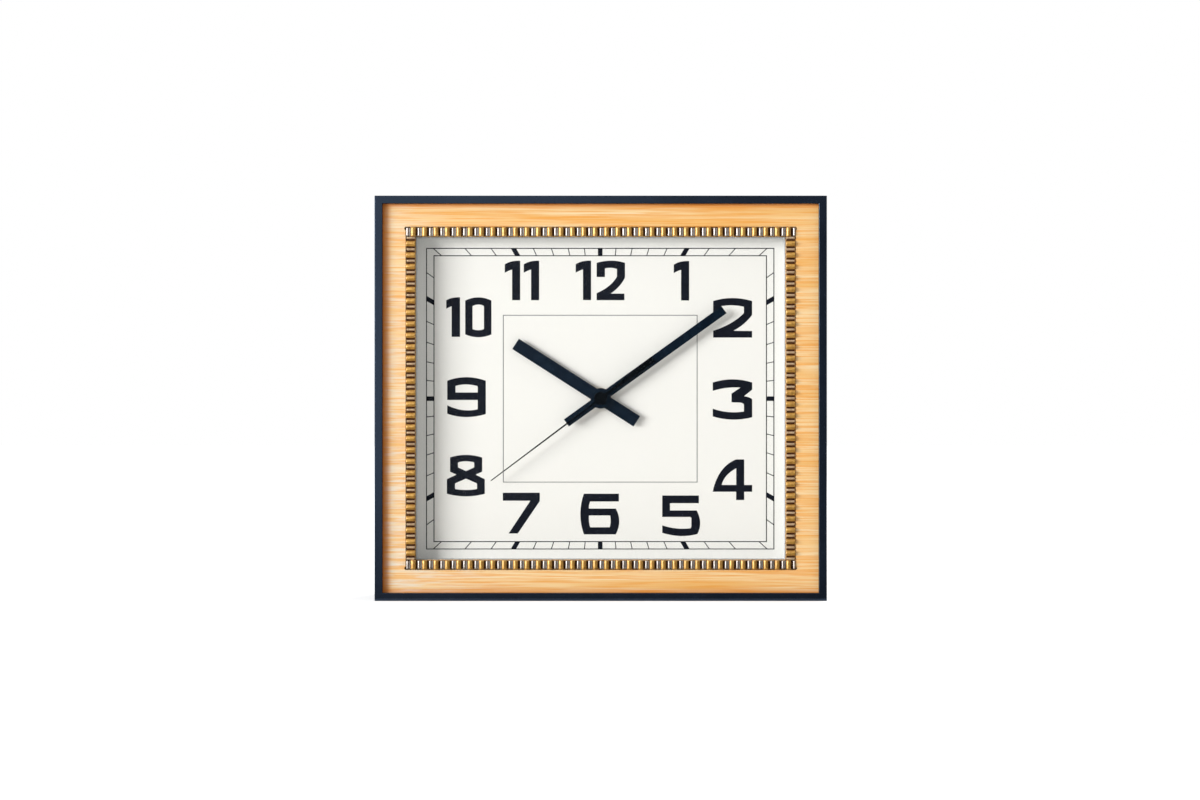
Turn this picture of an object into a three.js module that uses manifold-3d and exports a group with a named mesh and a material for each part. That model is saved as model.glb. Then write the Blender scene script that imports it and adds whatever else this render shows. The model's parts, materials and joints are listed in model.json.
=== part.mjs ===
// Wooden clock with a bead-and-reel opening and a battery quartz movement.
// Millimetres. +X runs right, +Z up, and the front faces -Y. The origin is the middle of the underside.
// Inside the clock group, y is the depth behind the front edge of the case.
import * as THREE from 'three';
import { mergeVertices } from 'three/addons/utils/BufferGeometryUtils.js';
import Module from 'manifold-3d';

const wasm = await Module();
wasm.setup();

// Case boards
const CASE_WIDTH = 226;
const CASE_HEIGHT = 202.5;
const CASE_DEPTH = 50;
const CASE_WALL = 4;

// Wood face panel with its stepped opening
const PANEL_SETBACK = 3;
const PANEL_THICKNESS = 6;
const PANEL_REVEAL = 11.3;
const LEDGE_THICKNESS = 2;
const OVERCUT_RADIUS = 0.9;
const OVERCUT_REACH = 0.65;

// Bead-and-reel strips
const TRIM_WIDTH = 5;
const TRIM_BASE = 2;
const TRIM_END_GAP = 0.3;
const BEAD_PITCH = 5.71;
const BEAD_RISE = 1.8;
const REEL_WIDTH = 1.3;
const REEL_RISE = 1.1;
const REEL_FLAT = 0.78;
const GROOVE_WIDTH = 0.8;

// Glass and the white rails behind it
const GLASS_THICKNESS = 2;
const GLASS_CLEARANCE = 0.3;
const RAIL_WIDTH = 8;
const RAIL_DEPTH = 6;

// Dial
const SHEET_THICKNESS = 0.4;
const BOARD_THICKNESS = 2.1;
const DIAL_SCREW_INSET = 12.8;

// Back panel, corner blocks and hanger
const BACK_SETBACK = 2.5;
const BACK_THICKNESS = 3;
const BACK_CLEARANCE = 0.3;
const BLOCK_CLEARANCE = 0.5;
const BLOCK_CHAMFER = 2;
const WINDOW_SIZE = 76;
const WINDOW_RADIUS = 6;
const HANGER_DROP = 24;
const HANGER_WIDTH = 44;
const HANGER_HEIGHT = 16;
const HANGER_THICKNESS = 1;
const HANGER_RADIUS = 3;
const HANGER_SCREW_EDGE = 2;
const KEYHOLE_RADIUS = 4.2;
const KEYHOLE_SLOT = 4.4;
const KEYHOLE_RISE = 7;
const KEYHOLE_MARGIN = 3;
const HANGER_POCKET = 3;

// Wood screws
const SCREW_RADIUS = 1.3;
const SCREW_LENGTH = 11;
const DIAL_SCREW_LENGTH = 6;
const HANGER_SCREW_LENGTH = 7;
const HEAD_RADIUS = 2.6;
const HEAD_HEIGHT = 1.2;
const HEAD_EDGE = 0.48;
const HEAD_FLAT_RADIUS = 1.69;
const PILOT_CLEARANCE = 0.15;
const PILOT_FLOOR = 1;

// Hands, as a share of the smaller half of the opening
const HOUR_REACH = 0.63;
const HOUR_TAIL = 21.6;
const HOUR_WIDTH = 6.2;
const MINUTE_REACH = 0.945;
const MINUTE_TAIL = 21.3;
const MINUTE_WIDTH = 4.4;
const SECOND_REACH = 0.853;
const SECOND_TAIL = 33;
const SECOND_WIDTH = 0.95;
const SECOND_TIP = 0.5;
const SECOND_TAIL_WIDTH = 3.2;
const HAND_THICKNESS = 0.6;
const NEEDLE_THICKNESS = 0.4;
const NUT_GAP = 0.7;
const HAND_GAP = 1.1;
const SECOND_GAP = 0.6;
const HUB_RADIUS = 5.2;
const HUB_HEIGHT = 0.6;
const HOUR_BOSS_RADIUS = 4.6;
const CAP_RADIUS = 3.3;
const CAP_HEIGHT = 0.7;
const HOUR_ANGLE = 302.6;
const MINUTE_ANGLE = 54.3;
const SECOND_ANGLE = 233.1;

// Tubes that carry the hands, from the outside in
const BUSH_RADIUS = 3.5;
const BUSH_WALL = 0.8;
const BUSH_FLANGE = 4.8;
const FLANGE_HEIGHT = 0.6;
const HOUR_TUBE_WALL = 0.55;
const MINUTE_TUBE_WALL = 0.8;
const ARBOR_RADIUS = 0.65;
const TUBE_STEP = 0.25;
const RUN_CLEARANCE = 0.2;
const FIT_CLEARANCE = 0.1;
const WASHER_THICKNESS = 0.4;
const WASHER_RADIUS = 5.1;
const NUT_HEIGHT = 1.4;
const NUT_FLATS = 9;
const GASKET_THICKNESS = 0.6;
const GASKET_RADIUS = 12;
const DIAL_HOLE_CLEARANCE = 0.5;

// Movement shell
const MOVEMENT_HEIGHT = 56;
const MOVEMENT_RADIUS = 2;
const SHELL_WALL = 1.2;
const FRONT_PLATE = 1.5;
const COVER_THICKNESS = 1.5;
const COVER_GAP = 0.2;
const FIRST_LAYER = 2.6;
const LAYER_PITCH = 1.7;
const WHEEL_THICKNESS = 1;
const LAYER_GAP = 0.2;
const BOSS_HEIGHT = 1.7;
const BOSS_RADIUS = 1.35;
const POST_RADIUS = 0.4;
const SHOULDER_RADIUS = 0.9;
const END_PLAY = 0.3;
const PIVOT_DEPTH = 0.8;

// Gear teeth
const CENTRE_MODULE = 0.36;
const CANNON_MODULE = 0.4;
const INTERMEDIATE_MODULE = 0.45;
const ROTOR_MODULE = 0.36;
const TOOTH_TOP = 0.62;
const TOOTH_FOOT = 1.05;
const TOOTH_SHARE_TOP = 0.2;
const TOOTH_SHARE_FOOT = 0.5;

// Places of the arbors, seen from the front
const THIRD_DIRECTION = 145;
const MINUTE_WHEEL_DIRECTION = -10;
const SETTING_DIRECTION = 45;
const INTERMEDIATE_DIRECTION = 60;
const ROTOR_DIRECTION = 150;

// Stepping motor and board
const MAGNET_RADIUS = 2.8;
const MAGNET_HEIGHT = 2;
const MAGNET_GAP = 0.5;
const EYE_RADIUS = 4.8;
const STATOR_LEFT = 12.5;
const STATOR_RIGHT = 14.5;
const STATOR_BAR = 3;
const STATOR_RISE = 11.2;
const COIL_LENGTH = 17;
const COIL_WALL = 1.2;
const COIL_FLANGE = 0.8;
const COIL_FLANGE_LENGTH = 1.2;
const COIL_STEP = 0.2;
const CIRCUIT_WIDTH = 7;
const CIRCUIT_LENGTH = 28;
const CIRCUIT_THICKNESS = 1.2;
const CIRCUIT_EDGE = 0.8;
const CIRCUIT_BOSS_INSET = 3;
const CRYSTAL_RADIUS = 1;
const CRYSTAL_LENGTH = 6;

// Setting knob
const SETTING_RADIUS = 1;
const KNOB_RADIUS = 6;
const KNOB_HEIGHT = 4;
const KNOB_GRIPS = 18;
const KNOB_GRIP_DEPTH = 0.35;
const KNOB_GAP = 0.4;
const KNOB_FLOOR = 1.2;

// Battery and its contacts
const BATTERY_RADIUS = 7.1;
const BATTERY_LENGTH = 50.5;
const BATTERY_CHAMFER = 0.5;
const BUTTON_RADIUS = 2.75;
const BUTTON_HEIGHT = 1;
const BAY_CLEARANCE = 0.4;
const BATTERY_PLAY = 0.15;
const CONTACT_THICKNESS = 0.4;
const CONTACT_WIDTH = 10;
const CONTACT_FRONT_GAP = 0.5;
const CONTACT_REAR_GAP = 1;
const LEAF_RISE = 2.4;
const LEAF_START = 1.5;
const LEAF_FOLD = 0.8;
const LEAF_GAP = 0.1;
const LEAF_CLEARANCE = 0.05;

// Cuts run past a face by this much, and a post is rooted this deep in the plate that it stands on.
const OVERRUN = 1;
const POST_ROOT = 0.5;

// Steps of a quarter turn, and sides of turned pieces
const ROUND_STEPS = 8;
const HUB_STEPS = 16;
const TUBE_STEPS = 8;
const HOLE_STEPS = 4;
const CORNER_STEPS = 2;
const SCREW_SIDES = 8;
const CRYSTAL_SIDES = 12;
const BATTERY_SIDES = 20;

// Depths of the main layers
const panelRear = PANEL_SETBACK + PANEL_THICKNESS;
const ledgeFront = panelRear - LEDGE_THICKNESS;
const glassFront = ledgeFront - GLASS_THICKNESS;
const dialFront = panelRear + RAIL_DEPTH;
const boardFront = dialFront + SHEET_THICKNESS;
const boardRear = boardFront + BOARD_THICKNESS;
const movementFront = boardRear + GASKET_THICKNESS;
const backFront = CASE_DEPTH - BACK_SETBACK - BACK_THICKNESS;
const backRear = CASE_DEPTH - BACK_SETBACK;

// Plan sizes
const middle = CASE_HEIGHT / 2;
const innerX = CASE_WIDTH / 2 - CASE_WALL;
const innerZ = CASE_HEIGHT / 2 - CASE_WALL;
const rebateX = innerX - PANEL_REVEAL;
const rebateZ = innerZ - PANEL_REVEAL;
const openX = rebateX - TRIM_WIDTH;
const openZ = rebateZ - TRIM_WIDTH;
const railX = openX + RAIL_WIDTH;
const railZ = openZ + RAIL_WIDTH;
const blockX = innerX - railX - BLOCK_CLEARANCE;
const blockZ = innerZ - railZ - BLOCK_CLEARANCE;

const clock = new THREE.Group();
clock.name = 'wooden_clock';
clock.position.set(0, -CASE_DEPTH / 2, middle);

const movement = new THREE.Group();
movement.name = 'movement';
movement.position.set(0, movementFront, 0);
clock.add(movement);

const finishes = {
  painted_board: [0x2b313d, 0.45, 0],
  face_veneer: [0xf0c58c, 0.5, 0],
  gilt: [0xd8ad55, 0.35, 0.2],
  clear_glass: [0xe8f2f2, 0.05, 0],
  white_paint: [0xf4f3ee, 0.5, 0],
  dial_print: [0xf7f6f1, 0.6, 0],
  bare_board: [0xb89468, 0.7, 0],
  pine: [0xdcb984, 0.7, 0],
  black_hand: [0x181c26, 0.45, 0.2],
  steel: [0xb8bcc0, 0.35, 0.9],
  brass: [0xc8a550, 0.35, 0.9],
  rubber: [0x22211f, 0.8, 0],
  black_plastic: [0x24262a, 0.5, 0],
  white_plastic: [0xe9e7df, 0.5, 0],
  dark_magnet: [0x3a3a3c, 0.5, 0.5],
  copper_wire: [0xb5683a, 0.4, 0.7],
  circuit_green: [0x2f6a43, 0.5, 0],
  battery_label: [0x51565c, 0.4, 0.3],
};

function add(parent, name, geometry, finish, place = [0, 0, 0], turn = 0) {
  const [color, roughness, metalness] = finishes[finish];
  const mesh = new THREE.Mesh(geometry, new THREE.MeshStandardMaterial({ color, roughness, metalness }));
  mesh.name = name;
  mesh.position.set(...place);
  mesh.rotation.y = turn;
  parent.add(mesh);
  return mesh;
}

// A flat outline in x and z made into a plate between two depths.
function plate(outline, near, far, steps = ROUND_STEPS) {
  const options = { depth: 1, bevelEnabled: false, curveSegments: steps };
  const geometry = new THREE.ExtrudeGeometry(outline, options);
  const points = geometry.getAttribute('position');
  for (let i = 0; i < points.count; i += 1) {
    const depth = points.getZ(i) > 0.5 ? near : far;
    points.setXYZ(i, points.getX(i), depth, points.getY(i));
  }
  geometry.computeVertexNormals();
  return geometry;
}

function solid(geometry) {
  const bare = new THREE.BufferGeometry();
  bare.setAttribute('position', geometry.getAttribute('position').clone());
  if (geometry.index) bare.setIndex(geometry.index.clone());
  const merged = mergeVertices(bare, 1e-4);
  const mesh = new wasm.Mesh({
    numProp: 3,
    vertProperties: new Float32Array(merged.getAttribute('position').array),
    triVerts: new Uint32Array(merged.index.array),
  });
  return new wasm.Manifold(mesh);
}

function geometryOf(body) {
  const mesh = body.getMesh();
  const geometry = new THREE.BufferGeometry();
  const points = new Float32Array(mesh.vertProperties);
  geometry.setAttribute('position', new THREE.BufferAttribute(points, mesh.numProp));
  geometry.setIndex(new THREE.BufferAttribute(new Uint32Array(mesh.triVerts), 1));
  geometry.computeVertexNormals();
  return geometry;
}

function joined(first, ...others) {
  let body = solid(first);
  for (const other of others) body = body.add(solid(other));
  return geometryOf(body);
}

function cut(first, ...tools) {
  let body = solid(first);
  for (const tool of tools) body = body.subtract(solid(tool));
  return geometryOf(body);
}

function polygon(points) {
  return new THREE.Shape(points.map(([x, z]) => new THREE.Vector2(x, z)));
}

function box(left, bottom, right, top) {
  return polygon([[left, bottom], [right, bottom], [right, top], [left, top]]);
}

function disc(radius, x = 0, z = 0) {
  return new THREE.Shape().absarc(x, z, radius, 0, Math.PI * 2);
}

function ring(outer, inner) {
  const shape = disc(outer);
  shape.holes.push(new THREE.Path().absarc(0, 0, inner, 0, Math.PI * 2));
  return shape;
}

function roundedBox(left, bottom, right, top, radius) {
  const shape = new THREE.Shape();
  shape.moveTo(left + radius, bottom);
  shape.lineTo(right - radius, bottom);
  shape.absarc(right - radius, bottom + radius, radius, -Math.PI / 2, 0);
  shape.lineTo(right, top - radius);
  shape.absarc(right - radius, top - radius, radius, 0, Math.PI / 2);
  shape.lineTo(left + radius, top);
  shape.absarc(left + radius, top - radius, radius, Math.PI / 2, Math.PI);
  shape.lineTo(left, bottom + radius);
  shape.absarc(left + radius, bottom + radius, radius, Math.PI, Math.PI * 1.5);
  return shape;
}

// Four mitred lengths that make a rectangle: outer half sizes, inner half sizes.
function mitred(outerX, outerZ, inX, inZ) {
  return {
    bottom: polygon([[-outerX, -outerZ], [outerX, -outerZ], [inX, -inZ], [-inX, -inZ]]),
    top: polygon([[-inX, inZ], [inX, inZ], [outerX, outerZ], [-outerX, outerZ]]),
    left: polygon([[-outerX, -outerZ], [-inX, -inZ], [-inX, inZ], [-outerX, outerZ]]),
    right: polygon([[inX, -inZ], [outerX, -outerZ], [outerX, outerZ], [inX, inZ]]),
  };
}

// Case
const caseSides = mitred(CASE_WIDTH / 2, CASE_HEIGHT / 2, innerX, innerZ);
for (const side of ['top', 'bottom', 'left', 'right']) {
  add(clock, `case_${side}`, plate(caseSides[side], 0, CASE_DEPTH), 'painted_board');
}

// Face panel: an opening with a step in front that takes the glass and the strips
const panelOutline = box(-innerX, -innerZ, innerX, innerZ);
panelOutline.holes.push(box(-openX, -openZ, openX, openZ));
const corners = [[-1, -1], [1, -1], [1, 1], [-1, 1]];
const overcuts = corners.map(([sx, sz]) => {
  const x = sx * (rebateX + OVERCUT_REACH - OVERCUT_RADIUS);
  const z = sz * (rebateZ - OVERCUT_RADIUS);
  return plate(disc(OVERCUT_RADIUS, x, z), PANEL_SETBACK - OVERRUN, ledgeFront, HOLE_STEPS);
});
const step = plate(box(-rebateX, -rebateZ, rebateX, rebateZ), PANEL_SETBACK - OVERRUN, ledgeFront);
const panel = plate(panelOutline, PANEL_SETBACK, panelRear);
add(clock, 'face_panel', cut(panel, step, ...overcuts), 'face_veneer');

// Glass
const glassX = rebateX - GLASS_CLEARANCE;
const glassZ = rebateZ - GLASS_CLEARANCE;
const glassOutline = box(-glassX, -glassZ, glassX, glassZ);
add(clock, 'front_glass', plate(glassOutline, glassFront, ledgeFront), 'clear_glass');

// One bead strip seen from its edge: wide half-round beads with a narrow reel between each two.
function beadOutline(length) {
  const count = Math.max(1, Math.round((length - REEL_WIDTH) / BEAD_PITCH));
  const pitch = (length - REEL_WIDTH) / count;
  const floor = glassFront - TRIM_BASE;
  const start = -length / 2;
  const shape = new THREE.Shape();
  shape.moveTo(start, glassFront);
  shape.lineTo(start, floor);
  for (let i = 0; i <= count; i += 1) {
    const reel = start + i * pitch + REEL_WIDTH / 2;
    shape.lineTo(reel - REEL_FLAT / 2, floor - REEL_RISE);
    shape.lineTo(reel + REEL_FLAT / 2, floor - REEL_RISE);
    shape.lineTo(reel + REEL_WIDTH / 2, floor);
    if (i === count) break;
    const bead = reel + pitch / 2;
    const half = (pitch - REEL_WIDTH) / 2 - GROOVE_WIDTH;
    shape.lineTo(bead - half, floor);
    shape.absellipse(bead, floor, half, BEAD_RISE, Math.PI, 0, false);
    shape.lineTo(start + (i + 1) * pitch, floor);
  }
  shape.lineTo(-start, glassFront);
  return shape;
}

// The strip outline runs along x or z and is as wide as the strip across.
function strip(length, place) {
  const options = { depth: 1, bevelEnabled: false, curveSegments: CORNER_STEPS };
  const geometry = new THREE.ExtrudeGeometry(beadOutline(length), options);
  const points = geometry.getAttribute('position');
  for (let i = 0; i < points.count; i += 1) {
    const across = points.getZ(i) > 0.5 ? 1 : 0;
    points.setXYZ(i, ...place(points.getX(i), points.getY(i), across));
  }
  geometry.computeVertexNormals();
  return geometry;
}

const longStrip = 2 * (rebateX - TRIM_END_GAP);
const shortStrip = 2 * openZ;
const outerZ = rebateZ - TRIM_END_GAP;
const outerX = rebateX - TRIM_END_GAP;
const topStrip = strip(longStrip, (along, depth, across) => [along, depth, across ? outerZ : openZ]);
const bottomStrip = strip(longStrip, (along, depth, across) => [along, depth, across ? -openZ : -outerZ]);
const leftStrip = strip(shortStrip, (along, depth, across) => [across ? -outerX : -openX, depth, along]);
const rightStrip = strip(shortStrip, (along, depth, across) => [across ? openX : outerX, depth, along]);
add(clock, 'bead_trim_top', topStrip, 'gilt');
add(clock, 'bead_trim_bottom', bottomStrip, 'gilt');
add(clock, 'bead_trim_left', leftStrip, 'gilt');
add(clock, 'bead_trim_right', rightStrip, 'gilt');

// A pan-head wood screw. Its head sits behind y = 0 and its shank points to the front.
function screw(length) {
  const profile = [
    [0, -length],
    [SCREW_RADIUS, -length + 2 * SCREW_RADIUS],
    [SCREW_RADIUS, 0],
    [HEAD_RADIUS, 0],
    [HEAD_RADIUS, HEAD_EDGE],
    [HEAD_FLAT_RADIUS, HEAD_HEIGHT],
    [0, HEAD_HEIGHT],
  ];
  return new THREE.LatheGeometry(profile.map(([r, y]) => new THREE.Vector2(r, y)), SCREW_SIDES);
}
const pilotRadius = SCREW_RADIUS + PILOT_CLEARANCE;

// Rails round the dial, with pilot holes for the dial screws in the top and bottom ones
const screwX = railX - DIAL_SCREW_INSET;
const screwZ = railZ - RAIL_WIDTH / 2;
const dialScrews = corners.map(([sx, sz]) => [sx * screwX, sz * screwZ]);
const railSides = mitred(railX, railZ, openX, openZ);
const dialPilots = dialScrews.map(([x, z]) => {
  const pilotEnd = Math.max(boardRear - DIAL_SCREW_LENGTH - END_PLAY, panelRear + PILOT_FLOOR);
  return plate(disc(pilotRadius, x, z), pilotEnd, dialFront + OVERRUN, HOLE_STEPS);
});
for (const side of ['top', 'bottom', 'left', 'right']) {
  const rail = plate(railSides[side], panelRear, dialFront);
  const drilled = side === 'top' || side === 'bottom' ? cut(rail, ...dialPilots) : rail;
  add(clock, `inner_rail_${side}`, drilled, 'white_paint');
}

// Dial sheet and board
const dialHole = BUSH_RADIUS + DIAL_HOLE_CLEARANCE;
function dialOutline() {
  const shape = box(-railX, -railZ, railX, railZ);
  shape.holes.push(disc(dialHole));
  for (const [x, z] of dialScrews) shape.holes.push(disc(pilotRadius, x, z));
  return shape;
}
add(clock, 'dial_face', plate(dialOutline(), dialFront, boardFront, HOLE_STEPS), 'dial_print');
add(clock, 'dial_board', plate(dialOutline(), boardFront, boardRear, HOLE_STEPS), 'bare_board');
const cornerNames = ['bottom_left', 'bottom_right', 'top_right', 'top_left'];
dialScrews.forEach(([x, z], i) => {
  add(clock, `dial_screw_${cornerNames[i]}`, screw(DIAL_SCREW_LENGTH), 'steel', [x, boardRear, z]);
});

// Corner blocks, back panel and its screws
corners.forEach(([sx, sz], i) => {
  const points = [
    [innerX, innerZ],
    [innerX - blockX, innerZ],
    [innerX - blockX, innerZ - blockZ + BLOCK_CHAMFER],
    [innerX - blockX + BLOCK_CHAMFER, innerZ - blockZ],
    [innerX, innerZ - blockZ],
  ];
  const block = polygon(points.map(([x, z]) => [sx * x, sz * z]));
  const x = sx * (innerX - blockX / 2);
  const z = sz * (innerZ - blockZ / 2);
  const pilotEnd = backRear - SCREW_LENGTH - END_PLAY;
  const pilot = plate(disc(pilotRadius, x, z), pilotEnd, backFront + OVERRUN, HOLE_STEPS);
  add(clock, `corner_block_${cornerNames[i]}`, cut(plate(block, panelRear, backFront), pilot), 'pine');
  add(clock, `back_screw_${cornerNames[i]}`, screw(SCREW_LENGTH), 'steel', [x, backRear, z]);
});

const hangerZ = middle - HANGER_DROP;
const hangerScrewX = HANGER_WIDTH / 2 - HEAD_RADIUS - HANGER_SCREW_EDGE;
const backOutline = box(
  -innerX + BACK_CLEARANCE,
  -innerZ + BACK_CLEARANCE,
  innerX - BACK_CLEARANCE,
  innerZ - BACK_CLEARANCE,
);
const half = WINDOW_SIZE / 2;
backOutline.holes.push(roundedBox(-half, -half, half, half, WINDOW_RADIUS));
for (const [sx, sz] of corners) {
  backOutline.holes.push(disc(pilotRadius, sx * (innerX - blockX / 2), sz * (innerZ - blockZ / 2)));
}
const pocketX = KEYHOLE_RADIUS + HANGER_POCKET;
const pocketLow = hangerZ - KEYHOLE_RADIUS - HANGER_POCKET;
const pocketHigh = hangerZ + KEYHOLE_RISE + KEYHOLE_SLOT / 2 + HANGER_POCKET;
backOutline.holes.push(roundedBox(-pocketX, pocketLow, pocketX, pocketHigh, HANGER_POCKET));
for (const sx of [-1, 1]) backOutline.holes.push(disc(pilotRadius, sx * hangerScrewX, hangerZ));
add(clock, 'back_panel', plate(backOutline, backFront, backRear, HOLE_STEPS), 'bare_board');

// Hanger plate with a keyhole: a round entry and a slot above it
const plateLow = hangerZ - HANGER_HEIGHT / 2;
const slotHigh = hangerZ + KEYHOLE_RISE + KEYHOLE_SLOT / 2;
const plateHigh = Math.max(plateLow + HANGER_HEIGHT, slotHigh + KEYHOLE_MARGIN);
const hanger = roundedBox(-HANGER_WIDTH / 2, plateLow, HANGER_WIDTH / 2, plateHigh, HANGER_RADIUS);
const spread = Math.asin(KEYHOLE_SLOT / 2 / KEYHOLE_RADIUS);
const keyhole = new THREE.Path();
keyhole.absarc(0, hangerZ, KEYHOLE_RADIUS, Math.PI / 2 + spread, Math.PI * 2.5 - spread);
keyhole.absarc(0, hangerZ + KEYHOLE_RISE, KEYHOLE_SLOT / 2, 0, Math.PI);
hanger.holes.push(keyhole);
for (const sx of [-1, 1]) hanger.holes.push(disc(pilotRadius, sx * hangerScrewX, hangerZ));
const hangerRear = backRear + HANGER_THICKNESS;
add(clock, 'hanger_plate', plate(hanger, backRear, hangerRear, HOLE_STEPS), 'steel');
add(clock, 'hanger_screw_left', screw(HANGER_SCREW_LENGTH), 'steel', [-hangerScrewX, hangerRear, hangerZ]);
add(clock, 'hanger_screw_right', screw(HANGER_SCREW_LENGTH), 'steel', [hangerScrewX, hangerRear, hangerZ]);

// Washer, nut and gasket on the bush
const washerFront = dialFront - WASHER_THICKNESS;
const nutFront = washerFront - NUT_HEIGHT;
const nutCorner = NUT_FLATS / 2 / Math.cos(Math.PI / 6);
const nutOutline = polygon(
  [0, 1, 2, 3, 4, 5].map((i) => {
    const at = i * Math.PI / 3;
    return [nutCorner * Math.cos(at), nutCorner * Math.sin(at)];
  }),
);
nutOutline.holes.push(disc(BUSH_RADIUS + FIT_CLEARANCE));
const washerOutline = ring(WASHER_RADIUS, BUSH_RADIUS + RUN_CLEARANCE);
add(clock, 'dial_washer', plate(washerOutline, washerFront, dialFront), 'brass');
add(clock, 'hex_nut', plate(nutOutline, nutFront, washerFront), 'brass');
add(clock, 'gasket', plate(ring(GASKET_RADIUS, dialHole), boardRear, movementFront), 'rubber');

// Radii of the nested tubes
const bushBore = BUSH_RADIUS - BUSH_WALL;
const hourTube = bushBore - RUN_CLEARANCE;
const hourBore = hourTube - HOUR_TUBE_WALL;
const minuteTube = hourBore - RUN_CLEARANCE;
const minuteBore = minuteTube - MINUTE_TUBE_WALL;

// Depths of the hands, stacked forward from the nut
const hourRear = nutFront - NUT_GAP;
const hourFront = hourRear - HAND_THICKNESS;
const minuteRear = hourFront - HAND_GAP;
const minuteFront = minuteRear - HAND_THICKNESS;
const hubFront = minuteFront - HUB_HEIGHT;
const secondRear = hubFront - SECOND_GAP;
const secondFront = secondRear - NEEDLE_THICKNESS;
const capFront = secondFront - CAP_HEIGHT;

// Hands point to twelve here and are turned to the time shown.
const reach = Math.min(openX, openZ);
function baton(width, length, tail, tailWidth = width, tipWidth = width) {
  return polygon([
    [-width / 2, 0], [-tailWidth / 2, -tail], [tailWidth / 2, -tail],
    [width / 2, 0], [tipWidth / 2, length], [-tipWidth / 2, length],
  ]);
}
const hourHole = hourTube - TUBE_STEP + FIT_CLEARANCE;
const hourHand = cut(
  joined(
    plate(baton(HOUR_WIDTH, HOUR_REACH * reach, HOUR_TAIL), hourFront, hourRear),
    plate(disc(HOUR_BOSS_RADIUS), hourFront, hourRear),
  ),
  plate(disc(hourHole), hourFront - OVERRUN, hourRear + OVERRUN),
);
const minuteHole = minuteTube - TUBE_STEP + FIT_CLEARANCE;
const minuteHand = cut(
  joined(
    plate(baton(MINUTE_WIDTH, MINUTE_REACH * reach, MINUTE_TAIL), minuteFront, minuteRear),
    plate(disc(HUB_RADIUS), hubFront, minuteRear, HUB_STEPS),
  ),
  plate(disc(minuteHole), hubFront - OVERRUN, minuteRear + OVERRUN),
);
const secondHole = ARBOR_RADIUS - TUBE_STEP + FIT_CLEARANCE;
const needle = baton(SECOND_WIDTH, SECOND_REACH * reach, SECOND_TAIL, SECOND_TAIL_WIDTH, SECOND_TIP);
const secondHand = cut(
  joined(
    plate(needle, secondFront, secondRear),
    plate(disc(CAP_RADIUS), capFront, secondRear, HUB_STEPS),
  ),
  plate(disc(secondHole), secondFront, secondRear + OVERRUN),
);
const degrees = Math.PI / 180;
add(clock, 'hour_hand', hourHand, 'black_hand', [0, 0, 0], HOUR_ANGLE * degrees);
add(clock, 'minute_hand', minuteHand, 'black_hand', [0, 0, 0], MINUTE_ANGLE * degrees);
add(clock, 'second_hand', secondHand, 'black_hand', [0, 0, 0], SECOND_ANGLE * degrees);

// Movement. Depths below are behind the movement's own front face.
const layer = (number) => FIRST_LAYER + (number - 1) * LAYER_PITCH;
const magnetFront = layer(7);
const magnetRear = magnetFront + MAGNET_HEIGHT;
const coverFront = magnetRear + BOSS_HEIGHT;
const coverRear = coverFront + COVER_THICKNESS;
const bayLength = BATTERY_LENGTH + 2 * BATTERY_PLAY + CONTACT_THICKNESS + LEAF_RISE;
const roomX = bayLength / 2;
const shellX = roomX + SHELL_WALL;
const shellZ = MOVEMENT_HEIGHT / 2;
const roomZ = shellZ - SHELL_WALL;
const bayLow = -roomZ;
const bayHigh = bayLow + 2 * (BATTERY_RADIUS + BAY_CLEARANCE);
const roomLow = bayHigh + SHELL_WALL;

function polar(distance, angle) {
  return [distance * Math.cos(angle * degrees), distance * Math.sin(angle * degrees)];
}

// Tooth counts of each meshing pair
const TEETH = {
  centre: 48, thirdPinion: 6,
  third: 45, secondPinion: 6,
  second: 30, intermediatePinion: 6,
  intermediate: 36, rotorPinion: 6,
  cannon: 12, minuteWheel: 36,
  minutePinion: 8, hour: 32,
  setting: 8,
};
const thirdDistance = CENTRE_MODULE * (TEETH.centre + TEETH.thirdPinion) / 2;
const thirdModule = 2 * thirdDistance / (TEETH.third + TEETH.secondPinion);
const minuteDistance = CANNON_MODULE * (TEETH.cannon + TEETH.minuteWheel) / 2;
const hourModule = 2 * minuteDistance / (TEETH.minutePinion + TEETH.hour);
const settingDistance = CANNON_MODULE * (TEETH.minuteWheel + TEETH.setting) / 2;
const intermediateDistance = INTERMEDIATE_MODULE * (TEETH.second + TEETH.intermediatePinion) / 2;
const rotorDistance = ROTOR_MODULE * (TEETH.intermediate + TEETH.rotorPinion) / 2;

const thirdAt = polar(thirdDistance, THIRD_DIRECTION);
const minuteAt = polar(minuteDistance, MINUTE_WHEEL_DIRECTION);
const settingStep = polar(settingDistance, SETTING_DIRECTION);
const settingAt = [minuteAt[0] + settingStep[0], minuteAt[1] + settingStep[1]];
const intermediateAt = polar(intermediateDistance, INTERMEDIATE_DIRECTION);
const rotorStep = polar(rotorDistance, ROTOR_DIRECTION);
const rotorAt = [intermediateAt[0] + rotorStep[0], intermediateAt[1] + rotorStep[1]];

// Angle of one tooth of the second gear so that its gap takes the first gear's tooth.
function meshed(teethA, toothA, teethB, direction) {
  const pitchA = Math.PI * 2 / teethA;
  const away = toothA - direction * degrees;
  const slip = away - Math.round(away / pitchA) * pitchA;
  const gap = direction * degrees + Math.PI - slip * teethA / teethB;
  return gap + Math.PI / teethB;
}

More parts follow.
